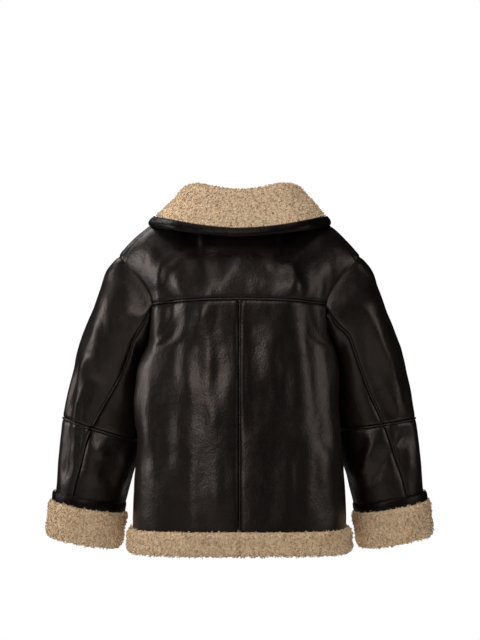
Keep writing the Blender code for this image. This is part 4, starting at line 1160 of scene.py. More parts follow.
def new_object(name, points, faces, looks, marks=None, picks=None):
    """A smooth mesh object from points and arrays of faces, whose picks choose among its looks."""
    points = np.asarray(points, float).reshape(-1, 3)
    loops = np.concatenate([f.ravel() for f in faces]).astype(np.int32)
    sizes = np.concatenate([np.full(len(f), f.shape[1]) for f in faces])
    mesh = bpy.data.meshes.new(name)
    mesh.vertices.add(len(points))
    mesh.vertices.foreach_set("co", points.astype(np.float32).ravel())
    mesh.loops.add(len(loops))
    mesh.loops.foreach_set("vertex_index", loops)
    mesh.polygons.add(len(sizes))
    mesh.polygons.foreach_set("loop_start", np.r_[0, np.cumsum(sizes)[:-1]].astype(np.int32))
    for look in looks:
        mesh.materials.append(finish(look))
    if picks is not None:
        index = np.concatenate([np.full(len(f), pick) for f, pick in zip(faces, picks)])
        mesh.polygons.foreach_set("material_index", index.astype(np.int32))
    mesh.update(calc_edges=True)
    mesh.shade_smooth()
    for mark, values in (marks or {}).items():
        kept = mesh.attributes.new(mark, "FLOAT", "POINT")
        kept.data.foreach_set("value", np.asarray(values, np.float32).ravel())
    made = bpy.data.objects.new(name, mesh)
    bpy.context.scene.collection.objects.link(made)
    return made


def turned_out(made):
    """The closed mesh with every face pointing out, and its sharp folds kept sharp."""
    bm = bmesh.new()
    bm.from_mesh(made.data)
    bmesh.ops.recalc_face_normals(bm, faces=bm.faces)
    bm.to_mesh(made.data)
    bm.free()
    made.data.set_sharp_from_angle(angle=SHARP_ANGLE)
    return made


def shell(name, outer, inner, looks, marks=None):
    """A closed wall between an outer and an inner grid of the same size, with a look for each."""
    rows, columns = outer.shape[:2]
    count = rows * columns
    row, column = rim_of(rows, columns)
    edge = row * columns + column
    following = np.roll(edge, -1)
    rim = np.stack([edge, following, following + count, edge + count], axis=1)
    faces = [grid_faces(rows, columns), grid_faces(rows, columns, start=count), rim]
    points = np.concatenate([outer.reshape(-1, 3), inner.reshape(-1, 3)])
    picks = (0, len(looks) - 1, 0)
    return turned_out(new_object(name, points, faces, looks, marks, picks))


def bar(name, sections, looks, closed=False, marks=None):
    """A solid through closed sections, its ends flat unless it runs round."""
    runs, size = sections.shape[:2]
    faces, points = [grid_faces(runs, size, closed, True)], sections.reshape(-1, 3)
    if not closed:
        middles = np.stack([sections[0].mean(axis=0), sections[-1].mean(axis=0)])
        first, last = np.arange(size), (runs - 1) * size + np.arange(size)
        for end, hub in ((first, runs * size), (last, runs * size + 1)):
            faces.append(np.stack([end, np.roll(end, -1), np.full(size, hub)], axis=1))
        points = np.concatenate([points, middles])
        if marks:
            marks = {mark: np.r_[values, values[:1], values[-1:]] for mark, values in marks.items()}
    return turned_out(new_object(name, points, faces, looks, marks))


def closed_section(shape, count):
    """A smooth closed outline through the given points."""
    shape = np.asarray(shape, float)
    wrapped = np.concatenate([shape[-3:], shape, shape[:4]])
    lengths = run_lengths(wrapped)
    start, end = lengths[3], lengths[3 + len(shape)]
    return spline(lengths, wrapped, np.linspace(start, end, count + 1)[:-1])


def tubes(name, lines, radii, aside, sides, looks, marks=None):
    """Many short round threads, each through its own run of points and closed at both ends."""
    count, steps = lines.shape[:2]
    ahead = unit(np.gradient(lines, axis=1))
    across = unit(np.cross(ahead, aside))
    outward = np.cross(ahead, across)
    turn = 2 * math.pi * np.arange(sides) / sides
    ring = np.cos(turn)[:, None] * across[:, :, None] + np.sin(turn)[:, None] * outward[:, :, None]
    points = lines[:, :, None] + radii[..., None, None] * ring
    size = steps * sides
    first = np.arange(count)[:, None, None] * size
    walls = (first + grid_faces(steps, sides, False, True)[None]).reshape(-1, 4)
    ends = np.arange(sides)
    roots = (first[:, 0] + ends[None]).reshape(-1, sides)
    tips = (first[:, 0] + size - 1 - ends[None]).reshape(-1, sides)
    return new_object(name, points, [walls[:, ::-1], roots, tips], looks, marks)


# ================================================================ wool
def scattered(grid, pitch, random):
    """Places on a grid about one pitch apart, unevenly: rows, columns."""
    tall = arc_lengths(grid, 0)[-1].mean()
    count = max(1, round(tall / pitch))
    rows, columns = [], []
    for k in range(count):
        row = np.clip((k + 0.5) / count * (len(grid) - 1), 0, len(grid) - PAST_LAST)
        lengths = arc_lengths(grid[int(row)][None], 1)[0]
        many = max(1, round(lengths[-1] / pitch))
        along_row = (np.arange(many) + random.uniform(*LOCK_PLACE, many)) * lengths[-1] / many
        columns.append(np.interp(along_row, lengths, np.arange(len(lengths))))
        jitter = random.uniform(-LOCK_STRAY, LOCK_STRAY, many) * (len(grid) - 1) / count
        rows.append(np.clip(row + jitter, 0, len(grid) - PAST_LAST))
    return np.concatenate(rows), np.clip(np.concatenate(columns), 0, grid.shape[1] - PAST_LAST)


def read_at(grid, rows, columns):
    """The values of a grid between its points."""
    r, c = rows.astype(int), columns.astype(int)
    u, v = (rows - r)[:, None], (columns - c)[:, None]
    low = (1 - v) * grid[r, c] + v * grid[r, c + 1]
    high = (1 - v) * grid[r + 1, c] + v * grid[r + 1, c + 1]
    return (1 - u) * low + u * high


def wool_locks(name, grid, out, wool, random, comb=WOOL_COMB, share=1.0):
    """Curled locks standing on a surface, each a short coil that leans its own way."""
    rows, columns = scattered(grid, wool.pitch, random)
    root, normal = read_at(grid, rows, columns), unit(read_at(out, rows, columns))
    count = len(root)
    lean = random.normal(size=(count, 3)) + np.array(comb)
    lean = unit(lean - normal * np.sum(lean * normal, axis=1)[:, None])
    rise = random.uniform(*LOCK_RISE, count)[:, None]
    axis = unit(normal * rise + lean * np.sqrt(1 - rise**2))
    side = unit(np.cross(axis, lean + LOCK_TILT * normal))
    other = np.cross(axis, side)
    t = np.linspace(0, 1, LOCK_STEPS + 1)[None, :, None]
    start = random.uniform(0, 2 * math.pi, count)[:, None, None]
    turns = random.choice([-1, 1], count) * random.uniform(*LOCK_TURNS, count)
    angle = start + 2 * math.pi * turns[:, None, None] * t
    long = share * wool.length * random.uniform(*LOCK_LONG, count)[:, None, None]
    wide = share * wool.curl * random.uniform(*LOCK_WIDE, count)[:, None, None]
    coil = (np.cos(angle) - np.cos(start)) * side[:, None]
    coil = coil + (np.sin(angle) - np.sin(start)) * other[:, None]
    lines = root[:, None] - LOCK_SUNK * normal[:, None] + long * t * axis[:, None] + wide * coil
    taper = 1 - LOCK_TAPER * t[:, :, 0] ** 2
    thick = wool.strand * random.uniform(*LOCK_THICK, count)[:, None] * taper
    tone = random.uniform(0, 1, count)[:, None, None]
    points = (count, LOCK_STEPS + 1, LOCK_SIDES)
    # the colour runs darker towards each lock's root: painted shade deep in the pile
    marks = {"lock_tip": np.broadcast_to(t, points), "lock_tone": np.broadcast_to(tone, points)}
    aside = np.broadcast_to(axis[:, None], lines.shape)
    return tubes(name, lines, thick, aside, LOCK_SIDES, [WOOL], marks)


# ================================================================ materials
def finish(name):
    """The material of that name, made by its recipe the first time it is asked for."""
    found = bpy.data.materials.get(name)
    if found:
        return found
    made = bpy.data.materials.new(name)
    made.use_nodes = True
    RECIPES[name](made, made.node_tree, made.node_tree.nodes["Principled BSDF"])
    return made


def feed(tree, node, inputs):
    """Set a node's inputs to values, or join them to other nodes' sockets."""
    for name, value in inputs.items():
        if isinstance(value, bpy.types.NodeSocket):
            tree.links.new(value, node.inputs[name])
        else:
            node.inputs[name].default_value = value


def add_node(tree, kind, inputs=None, **settings):
    """A shader node with its settings, and its inputs given as values or as other sockets."""
    made = tree.nodes.new(kind)
    for name, value in settings.items():
        setattr(made, name, value)
    feed(tree, made, inputs or {})
    return made


def object_place(tree):
    return add_node(tree, "ShaderNodeTexCoord").outputs["Object"]


def worked_out(tree, operation, first, second):
    """The result of a shader's sum or product of two numbers."""
    return add_node(tree, "ShaderNodeMath", {0: first, 1: second}, operation=operation).outputs[0]


def scaled(tree, vector, scale):
    """A direction or a colour, made longer or lighter."""
    inputs = {"Vector": vector, "Scale": scale}
    return add_node(tree, "ShaderNodeVectorMath", inputs, operation="SCALE").outputs["Vector"]


def ramp(tree, factor, places, colours):
    """A colour ramp over a factor, with the given colours at the given places."""
    made = add_node(tree, "ShaderNodeValToRGB", {"Fac": factor})
    for element, place, colour in zip(made.color_ramp.elements, places, colours):
        element.position, element.color = place, (*colour, 1)
    return made.outputs["Color"]


def between(tree, factor, low, high, start=0.0, end=1.0):
    """A number that runs from low to high as the factor runs from start to end."""
    inputs = {"Value": factor, "From Min": start, "From Max": end, "To Min": low, "To Max": high}
    return add_node(tree, "ShaderNodeMapRange", inputs).outputs["Result"]


def noise_at(tree, place, size, detail=2.0, rough=0.5, output="Fac"):
    inputs = {"Vector": place, "Scale": 1 / size, "Detail": detail, "Roughness": rough}
    return add_node(tree, "ShaderNodeTexNoise", inputs).outputs[output]


def cells_at(tree, place, size, feature):
    """How far each place is from the middle of its own cell."""
    inputs = {"Vector": place, "Scale": 1 / size, "Randomness": 1.0}
    return add_node(tree, "ShaderNodeTexVoronoi", inputs, feature=feature).outputs["Distance"]


def waves_at(tree, place, size, distortion, direction):
    inputs = {"Vector": place, "Scale": 1 / size, "Distortion": distortion}
    return add_node(tree, "ShaderNodeTexWave", inputs, bands_direction=direction).outputs["Fac"]


def bumped(tree, height, distance, before=None):
    inputs = {"Height": height, "Distance": distance, "Strength": 1.0}
    if before is not None:
        inputs["Normal"] = before
    return add_node(tree, "ShaderNodeBump", inputs).outputs["Normal"]


def leather_recipe(made, tree, shader):
    """Waxed dark hide: pebbled grain, cloudy colour, and a soft uneven shine."""
    look = bpy.context.scene.coat_leather
    place = object_place(tree)
    cloud = noise_at(tree, place, *CLOUD_NOISE)
    pores = noise_at(tree, place, PORE_SIZE)
    pebbles = cells_at(tree, place, look.grain, "SMOOTH_F1")
    patches = noise_at(tree, place, PATCH_SIZE)
    low, high = look.roughness - ROUGHNESS_SWAY, look.roughness + ROUGHNESS_SWAY
    normal = bumped(tree, patches, PATCH_HEIGHT)
    normal = bumped(tree, pebbles, look.grain_height, normal)
    feed(tree, shader, {
        "Base Color": ramp(tree, cloud, CLOUD_STOPS, (look.colour, look.worn_colour)),
        "Roughness": between(tree, patches, low, high),
        "Specular IOR Level": look.specular,
        "Specular Tint": (*LEATHER_TINT, 1),
        "Coat Weight": look.wax,
        "Coat Roughness": WAX_ROUGHNESS,
        "Normal": bumped(tree, pores, PORE_HEIGHT, normal),
    })
    made.diffuse_color = (*look.colour, 1)


def binding_recipe(made, tree, shader):
    """The same hide without its waxed shine, for the narrow strips."""
    leather_recipe(made, tree, shader)
    feed(tree, shader, {"Specular IOR Level": BINDING_SHINE})


def wool_recipe(made, tree, shader):
    """Curled wool in tufts, with painted shade towards each lock's root, on the skin under the locks and between
    the tufts, a painted highlight on the tufts' crests, and each lock a little lighter or darker at random.
    """
    look = bpy.context.scene.coat_wool
    place = object_place(tree)
    tip, tone = (
        add_node(tree, "ShaderNodeAttribute", attribute_name=name).outputs["Fac"]
        for name in ("lock_tip", "lock_tone")
    )
    shift = scaled(tree, noise_at(tree, place, *STIR_NOISE, output="Color"), TUFT_STIR)
    moved = add_node(tree, "ShaderNodeVectorMath", {0: place, 1: shift}, operation="ADD")
    tufts = cells_at(tree, moved.outputs["Vector"], TUFT_SIZE, "F1")
    crest = between(tree, tufts, 1.0, 0.0, *TUFT_EDGES)
    shade = between(tree, tone, *TONE_RANGE)
    drift = between(tree, noise_at(tree, place, WOOL_CLOUD), *CLOUD_RANGE)
    shade = worked_out(tree, "MULTIPLY", shade, drift)
    # colour painted darker in the hollows between tufts and lighter on their crests: painted shade and painted
    # highlight
    shade = worked_out(tree, "MULTIPLY", shade, between(tree, crest, *TUFT_PAINTED_SHADE))
    # darker towards the roots and on the skin under the locks: painted shade deep in the pile
    body = ramp(tree, tip, WOOL_STOPS, (look.shaded_root_colour, look.tip_colour))
    fuzz = noise_at(tree, place, *FUZZ_NOISE)
    feed(tree, shader, {
        "Base Color": scaled(tree, body, shade),
        "Roughness": WOOL_ROUGHNESS,
        "Specular IOR Level": WOOL_SHINE,
        "Sheen Weight": WOOL_SHEEN,
        "Sheen Tint": (*look.tip_colour, 1),
        "Sheen Roughness": WOOL_SHEEN_ROUGHNESS,
        "Normal": bumped(tree, fuzz, FUZZ_HEIGHT, bumped(tree, crest, TUFT_HEIGHT)),
    })
    made.diffuse_color = (*look.tip_colour, 1)


def thread_recipe(made, tree, shader):
    """Twisted waxed thread."""
    look = bpy.context.scene.coat_sewing
    twist = waves_at(tree, object_place(tree), THREAD_TWIST, THREAD_SWAY, "DIAGONAL")
    dark = tuple(THREAD_DARK * c for c in look.colour)
    feed(tree, shader, {
        "Base Color": ramp(tree, twist, THREAD_STOPS, (dark, look.colour)),
        "Normal": bumped(tree, twist, THREAD_HEIGHT),
        "Roughness": THREAD_ROUGHNESS,
    })


def tape_recipe(made, tree, shader):
    """The zip's woven tape: fine ribs along and across."""
    place = object_place(tree)
    ribs = [waves_at(tree, place, TAPE_RIB, TAPE_SWAY, direction) for direction in ("X", "Z")]
    weave = worked_out(tree, "ADD", *ribs)
    feed(tree, shader, {
        "Base Color": ramp(tree, between(tree, weave, *TAPE_CONTRAST), TAPE_STOPS, TAPE_COLOURS),
        "Normal": bumped(tree, weave, TAPE_HEIGHT),
        "Roughness": TAPE_ROUGHNESS,
    })


def metal_recipe(made, tree, shader):
    """Darkened brass, rubbed lighter in places."""
    rubbed = noise_at(tree, object_place(tree), *RUB_NOISE)
    feed(tree, shader, {
        "Base Color": ramp(tree, rubbed, RUB_STOPS, METAL_COLOURS),
        "Roughness": between(tree, rubbed, *METAL_ROUGHNESS),
        "Normal": bumped(tree, rubbed, RUB_HEIGHT),
        "Metallic": 1.0,
    })


def floor_recipe(made, tree, shader):
    """Pale matt floor that runs into the white surround at its rim."""
    away = add_node(tree, "ShaderNodeVectorMath", {0: object_place(tree)}, operation="LENGTH")
    rim = between(tree, away.outputs["Value"], 0.0, 1.0, *FLOOR_RIM)
    feed(tree, shader, {"Base Color": (*FLOOR_COLOUR, 1), "Roughness": FLOOR_ROUGHNESS})
    white = add_node(tree, "ShaderNodeEmission", {"Color": WHITE, "Strength": 1.0})
    seen = add_node(tree, "ShaderNodeLightPath").outputs["Is Camera Ray"]
    share = worked_out(tree, "MULTIPLY", rim, seen)
    blend = {0: share, 1: shader.outputs[0], 2: white.outputs[0]}
    blend = add_node(tree, "ShaderNodeMixShader", blend)
    out = next(n for n in tree.nodes if n.type == "OUTPUT_MATERIAL")
    tree.links.new(blend.outputs[0], out.inputs["Surface"])


RECIPES = {
    LEATHER: leather_recipe,
    BINDING: binding_recipe,
    WOOL: wool_recipe,
    THREAD: thread_recipe,
    TAPE: tape_recipe,
    METAL: metal_recipe,
    FLOOR: floor_recipe,
}


# ================================================================ pieces of the coat
def along_body(made, replaced=()):
    """The piece moves with the coat, and the solid pieces it stands for are hidden."""
    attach(made, COAT)
    if replaced:
        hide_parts(*replaced)
    return made


def cloth(made, cut, on_it=()):
    """Does nothing with the piece or what is on it; the flat cut, its greatest width and length and its area, is
    not used.
    """
    list(on_it)


def leather_panel(name):
    """One shearling panel: creased leather outside, clipped wool inside."""
    outer, depth, out = fine_panel(name)
    outer, inner = drawn_back(outer, depth)
    nap = swell(inner, *LINING_BUMP)
    nap[[0, -1]], nap[:, [0, -1]] = 0, 0
    inner = inner - out * np.maximum(nap, 0)[..., None]
    plain = np.zeros(nap.size)
    tone = MIDDLE_TONE + swell(inner, *LINING_TONE).ravel()
    marks = {
        "lock_tip": np.r_[plain, np.full(nap.size, LINING_TIP)],
        "lock_tone": np.r_[plain, tone],
    }
    return shell(f"{name}_hide", outer, inner, (LEATHER, WOOL), marks)


def seam_line(name, edge):
    """A panel's edge without its seam's dip: its points and their outward directions."""
    outer, _, out = fine_panel(name)
    number, row = EDGES[edge]
    return outer[row] + out[row] * SEAM_DIPS[seams_of(name)[number]][0], out[row]


def trimmed(line, out, start, end):
    """A run of points cut short by the given lengths at its two ends."""
    lengths = run_lengths(line)
    keep = (lengths > start + LEAST_STEP) & (lengths < lengths[-1] - end - LEAST_STEP)
    at = np.r_[start, lengths[keep], lengths[-1] - end]
    return read_run(at, lengths, line), unit(read_run(at, lengths, out))


def steps_round(points):
    """The way from the point before to the point after, for each point of a closed run."""
    return np.roll(points, -1, axis=0) - np.roll(points, 1, axis=0)


def across_line(line, out, closed=False):
    ahead = steps_round(line) if closed else np.gradient(line, axis=0)
    return unit(np.cross(ahead, out))


def welt_strip(name, line, out, closed=False):
    """A narrow padded strip sewn over a seam, a rounded ridge through the welt's section."""
    across = across_line(line, out, closed)
    sections = np.stack([line + a * across + h * out for a, h in WELT_SECTION], axis=1)
    return bar(name, sections, [LEATHER], closed)


def stitch_lines(line, out, offset, height, closed=False):
    """The middle lines of a row of stitches beside a line, lying along it."""
    sewing = bpy.context.scene.coat_sewing
    row = line + offset * across_line(line, out, closed) + height * out
    if closed:
        row, out = (np.concatenate([run, run[:1]]) for run in (row, out))
    lengths = run_lengths(row)
    pitch = sewing.stitch + sewing.gap
    starts = np.arange(pitch / 2, lengths[-1] - pitch, pitch)
    at = starts[:, None] + np.linspace(0, sewing.stitch, STITCH_POINTS)
    sunk = np.zeros((STITCH_POINTS, 1))
    sunk[[0, -1]] = STITCH_SINK
    normal = unit(read_run(starts, lengths, out))
    return read_run(at, lengths, row) - sunk * normal[:, None], normal


def stitches(name, rows):
    """One object with every stitch of the given rows."""
    lines, aside = (np.concatenate(runs) for runs in zip(*rows))
    radii = np.full(lines.shape[:2], bpy.context.scene.coat_sewing.thread / 2)
    radii[:, [0, -1]] *= STITCH_END
    aside = np.broadcast_to(aside[:, None], lines.shape)
    return along_body(tubes(name, lines, radii, aside, STITCH_SIDES, [THREAD]))


def body_welts():
    """The yoke's and the centre back's welts, with their seam lines."""
    yield "yoke_welt", *trimmed(*seam_line("back_yoke", "bottom"), *YOKE_WELT_ENDS), False
    yield "centre_back_welt", *trimmed(*seam_line("back_right", "first"), *BACK_WELT_ENDS), False


def sleeve_welts(side):
    """The welts down the back of a sleeve and round its elbow, with their seam lines."""
    first = "first" if side == "left" else "last"
    line, out = seam_line(f"sleeve_{side}_under_upper", first)
    yield f"sleeve_{side}_upper_welt", *trimmed(line, out, ELBOW_CLEAR, ARMHOLE_CLEAR), False
    line, out = seam_line(f"sleeve_{side}_under_lower", first)
    covered = LOWER_SLEEVE_COVERED * np.linalg.norm(np.diff(line, axis=0), axis=1).sum()
    yield f"sleeve_{side}_lower_welt", *trimmed(line, out, covered, ELBOW_CLEAR), False
    under = seam_line(f"sleeve_{side}_under_upper", "bottom")
    top = seam_line(f"sleeve_{side}_top_upper", "bottom")
    ring = (np.concatenate([low, high[1:-1]]) for low, high in zip(under, top))
    yield f"elbow_welt_{side}", *ring, True


# ================================================================ cuffs, hem and collar
def sleeve_ring(side, out_by, up_by):
    """Points round the end of a sleeve, and their outward directions, for one point of a section."""
    middle, out_axis, half_y = sleeve_section(min(cuff_place(up_by), 1.0), side)
    ring = oval(middle, out_axis, half_y, CUFF_TURNS)
    wide = np.linalg.norm(out_axis)
    angle = 2 * math.pi * CUFF_TURNS[:, None]
    radial = unit(np.cos(angle) * out_axis / wide**2 - np.sin(angle) * FORWARD / half_y)
    inner = np.clip(-radial @ unit(out_axis), 0, 1)[:, None] ** 2
    ring = ring + (out_by - CUFF_INNER * inner) * radial - UP * max(0.0, -up_by)
    return on_side(ring, side), on_side(radial, side)


def ring_grid(side, section):
    """A section carried round the end of a sleeve: its points and their outward directions."""
    rings = (sleeve_ring(side, out_by, up_by) for out_by, up_by in section)
    grid, radial = (np.stack(rows) for rows in zip(*rings))
    axis = unit(sleeve_ring(side, 0, AXIS_STEP)[0] - sleeve_ring(side, 0, 0.0)[0])
    return grid, outward(grid, section, radial, axis)


def outward(grid, section, aside, up):
    """The directions square to the skin of a carried section, pointing away from its middle."""
    ahead = steps_round(section)
    square = unit(np.stack([ahead[:, 1], -ahead[:, 0]], axis=1))[..., None, None]
    normals = square[:, 0] * aside + square[:, 1] * up
    agree = np.mean(np.sum((grid - grid.mean(axis=0, keepdims=True)) * normals, axis=-1))
    return normals * np.sign(agree)


def wool_bumps(grid, out, calm=1.0):
    return grid + (swell(grid, *WOOL_BUMP) * calm)[..., None] * out


def pucker(points):
    """How a narrow strip of leather gathers along its sewing."""
    return swell(points, *STRIP_PUCKER) + swell(points, *STRIP_WAVE)


def wool_band(node, grid, out, section, locks_from, random, closed):
    """A wool band through a carried section, which stands for its node, and the locks on it."""
    calm = np.ones(grid.shape[1])
    if not closed:
        calm[[0, -1]] = 0
    grid = wool_bumps(grid, out, calm)
    count = grid.shape[0] * grid.shape[1]
    # the skin under the locks is coloured darker, as painted shade deep in the pile
    marks = {"lock_tip": np.full(count, SHADED_BASE_TIP), "lock_tone": np.full(count, MIDDLE_TONE)}
    made = bar(f"{node}_wool", grid.transpose(1, 0, 2), [WOOL], closed, marks)
    shown = np.flatnonzero((section[:, 0] > locks_from[0]) | (section[:, 1] < locks_from[1]))
    grid, out = rolled(grid, shown), rolled(out, shown)
    if closed:
        grid, out = (np.concatenate([run, run[:, :1]], axis=1) for run in (grid, out))
    along_body(made, [node])
    locks = wool_locks(f"{node}_locks", grid, out, bpy.context.scene.coat_wool, random)
    return made, along_body(locks)


def turned_cuff(side, random):
    """The turned cuff: its woolly skin and the locks that stand on it."""
    section = closed_section(CUFF_WOOL_SECTION, CUFF_SECTION_POINTS)
    grid, out = ring_grid(side, section)
    return wool_band(f"cuff_{side}", grid, out, section, CUFF_LOCKS_FROM, random, True)


def rolled(grid, shown):
    """The shown rows of a closed section, in one unbroken run."""
    gap = np.flatnonzero(np.diff(shown) > 1)
    order = np.concatenate([shown[gap[0] + 1 :], shown[: gap[0] + 1]]) if len(gap) else shown
    return grid[order]


def cuff_strip(side):
    """The leather strip that binds the top of the cuff, a little puckered."""
    grid, out = ring_grid(side, closed_section(CUFF_STRIP_SECTION, CUFF_STRIP_POINTS))
    grid = grid + pucker(grid)[..., None] * out
    made = bar(f"cuff_{side}_strip", grid.transpose(1, 0, 2), [BINDING], True)
    return along_body(made, [f"cuff_binding_{side}"])


def hem_piece(name, side, random):
    """A quarter of the hem's wool band and its locks."""
    panel = f"{name}_{side}"
    edge, _ = seam_line(panel, "bottom")
    ahead = unit(np.gradient(edge, axis=0) * LEVEL)
    aside = np.cross(ahead, UP)
    aside[0] = aside[-1] = 0
    for end in (0, -1):
        sideways = abs(edge[end, 1]) < HEM_SIDE_DEPTH
        aside[end] = (SIDES[side], 0, 0) if sideways else (0, np.sign(edge[end, 1]), 0)
    aside *= np.where(np.sum(aside * unit(edge * LEVEL), axis=1) < 0, -1, 1)[:, None]
    edge = shortened(edge, HEM_GAP, HEM_GAP)
    section = closed_section(HEM_WOOL_SECTION, HEM_SECTION_POINTS)
    grid = np.stack([edge + out_by * aside + up_by * UP for out_by, up_by in section])
    out = outward(grid, section, aside, UP)
    return wool_band(f"hem_{panel}", grid, out, section, HEM_LOCKS_FROM, random, False)


def collar_grids():
    """The collar at fine places: turns and paths up to its strip, and its thickness there."""
    turns = np.linspace(-1, 1, COLLAR_FINE[0]) * (1 - BINDING_TURN) * (1 - BINDING_GAP)
    paths = np.linspace(0, 1, COLLAR_FINE[1]) * (1 - BINDING_DEEP) * (1 - BINDING_GAP)
    turn, path = np.meshgrid(turns, paths, indexing="ij")
    return turn, path, np.interp(path, [0, FOOT_PATH], [COLLAR_FOOT, COLLAR_THICK])


def woolly_collar(random):
    """The collar's sheet, wool over leather, and the locks on its three thirds."""
    turn, path, thick = collar_grids()
    over, under = collar_sheet(turn, path, thick)
    out = collar_normal(turn, path)
    inset = COLLAR_WOOL_INSET * np.minimum(thick / COLLAR_THICK, 1)
    skin = wool_bumps(over - inset[..., None] * out, out)
    count = turn.size
    marks = {
        # the wool skin under the locks is coloured darker, as painted shade deep in the pile
        "lock_tip": np.r_[np.full(count, COLLAR_SHADED_BASE_TIP), np.zeros(count)],
        "lock_tone": np.full(2 * count, MIDDLE_TONE),
    }
    made = shell("collar_hide", skin, under, (WOOL, LEATHER), marks)
    along_body(made, ["collar"])
    wool, locks = bpy.context.scene.coat_wool, []
    third = len(skin) // 3
    for k, part in enumerate(("left", "middle", "right")):
        rows = slice(k * third, (k + 1) * third + 1 if k < 2 else len(skin))
        surface = f"collar_{part}_locks", skin[rows], out[rows]
        made_locks = wool_locks(*surface, wool, random, COLLAR_COMB, COLLAR_LOCK_SHARE)
        locks.append(along_body(made_locks))
    return made, locks


def collar_strip():
    """The leather strip round the collar's outer edge and front ends, and its line of stitches."""
    turns = np.linspace(-1, 1, COLLAR_FINE[0]) * (1 - BINDING_TURN)
    ends = np.linspace(0, 1, COLLAR_FINE[1] // 2) * (1 - BINDING_DEEP)
    edge, last = turns[1:-1], ends[-1]
    inner_turns = np.r_[np.full(len(ends), turns[0]), edge, np.full(len(ends), turns[-1])]
    inner_paths = np.r_[ends, np.full(len(edge), last), ends[::-1]]
    outer_turns = np.r_[np.full(len(ends), -1), edge, np.ones(len(ends))]
    outer_paths = np.r_[ends[:-1], np.ones(len(edge) + 2), ends[-2::-1]]
    places, shares = np.array(COLLAR_STRIP).T
    wide = np.linspace(0, 1, STRIP_POINTS)
    thick = spline(places, shares, wide) * BINDING_THICK
    turn = inner_turns[:, None] + wide * (outer_turns - inner_turns)[:, None]
    path = inner_paths[:, None] + wide * (outer_paths - inner_paths)[:, None]
    over, under = collar_sheet(turn, path, np.broadcast_to(thick, turn.shape))
    out = unit(over - under)
    over = over + (pucker(over) * np.sin(math.pi * wide))[..., None] * out
    made = shell("collar_strip", over, under, (BINDING,))
    column = round(STRIP_STITCH_PLACE * (STRIP_POINTS - 1))
    return along_body(made, ["collar_binding"]), over[:, column], out[:, column]


# ================================================================ zip
def zip_line():
    """The middle of the closed zip, at the outer face of its tapes, from its lower end up."""
    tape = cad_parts["zip_tape_left"].data
    points = np.array([v.co for v in tape.vertices])
    heights = np.unique(np.round(points[:, 2], MEETING_PLACES))
    line = []
    for z in heights:
        row = points[np.abs(points[:, 2] - z) < TAPE_LEVEL]
        line.append((0.0, row[:, 1].max(), z))
    return np.array(line)


def zip_teeth():
    """Two rows of teeth that take turns up the zip, left out where the slider holds them."""
    line = zip_line()
    heights = np.arange(line[0, 2] + TOOTH_FIRST, line[-1, 2] - TOOTH_FIRST, TOOTH_PITCH / 2)
    low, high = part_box("zip_slider")
    points, faces = [], []
    ring, size = np.arange(len(TOOTH_SHAPE)), len(TOOTH_SHAPE)
    beside = np.roll(ring, -1)
    sides = np.stack([ring, beside, beside + size, ring + size], axis=1)
    for k, z in enumerate(heights):
        if low.z - TOOTH_CLEAR < z < high.z + TOOTH_CLEAR:
            continue
        y = np.interp(z, line[:, 2], line[:, 1])
        side = 1.0 if k % 2 else -1.0
        start = len(points)
        for deep, shrink in ((0.0, 1.0), (TOOTH_PROUD, TOOTH_TOP)):
            points += [(side * (x - TOOTH_REACH), y + deep, z + h * shrink) for x, h in TOOTH_SHAPE]
        faces.append(start + sides)
        for level in (0, size):
            faces.append(start + level + np.array(TOOTH_FACES))
    return along_body(turned_out(new_object("zip_teeth", points, faces, [METAL])))


def rounded(node, look, width=0.0):
    """A solid piece that keeps its shape, with its own finish and its edges eased."""
    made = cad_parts[node]
    made.data.materials.clear()
    made.data.materials.append(finish(look))
    if width:
        ease_edges = made.modifiers.new("eased edges", "BEVEL")
        ease_edges.width, ease_edges.segments = width, EASED_STEPS
        ease_edges.limit_method = "ANGLE"
        ease_edges.angle_limit = EASED_ANGLE
    return made


# ================================================================ studio
def area_light(name, turn, rise, size, power):
    """A soft light on a sphere round the coat, turned towards the coat's middle."""
    lamp = bpy.data.lights.new(name, "AREA")
    lamp.shape = "RECTANGLE"
    lamp.size, lamp.size_y = size
    lamp.energy = power
    turn, rise = math.radians(turn), math.radians(rise)
    flat = math.cos(rise)
    way = Vector((math.sin(turn) * flat, -math.cos(turn) * flat, math.sin(rise)))
    made = bpy.data.objects.new(name, lamp)
    made.location = Vector(LIGHT_AIM) + LIGHT_AWAY * way
    made.rotation_euler = way.to_track_quat("Z", "Y").to_euler()
    bpy.context.scene.collection.objects.link(made)
    return made


def studio_world(look):
    """A white surround to the eye, which lights the coat only softly."""
    world = bpy.data.worlds.new("studio")
    world.use_nodes = True
    tree = world.node_tree
    tree.nodes.clear()
    mix = {0: add_node(tree, "ShaderNodeLightPath").outputs["Is Camera Ray"]}
    for socket, strength in ((1, look.surround), (2, 1.0)):
        light = add_node(tree, "ShaderNodeBackground", {"Color": WHITE, "Strength": strength})
        mix[socket] = light.outputs[0]
    mix = add_node(tree, "ShaderNodeMixShader", mix)
    add_node(tree, "ShaderNodeOutputWorld", {"Surface": mix.outputs[0]})
    bpy.context.scene.world = world


def studio_floor(look):
    turn = 2 * math.pi * np.arange(FLOOR_POINTS) / FLOOR_POINTS
    rim = np.stack([np.cos(turn), np.sin(turn), np.zeros(FLOOR_POINTS)], axis=1) * look.floor_reach
    new_object("floor", rim - UP * look.floor_drop, [np.arange(FLOOR_POINTS)[None]], [FLOOR])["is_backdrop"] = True


def studio_camera(look):
    lens = bpy.data.cameras.new("camera")
    lens.sensor_width = SENSOR
    lens.lens = SENSOR * look.camera_away / look.view_height
    made = bpy.data.objects.new("camera", lens)
    made.location = (look.camera_aside, -look.camera_away, look.camera_height)
    made.rotation_euler = (math.pi / 2, 0, 0)
    bpy.context.scene.collection.objects.link(made)
    bpy.context.scene.camera = made


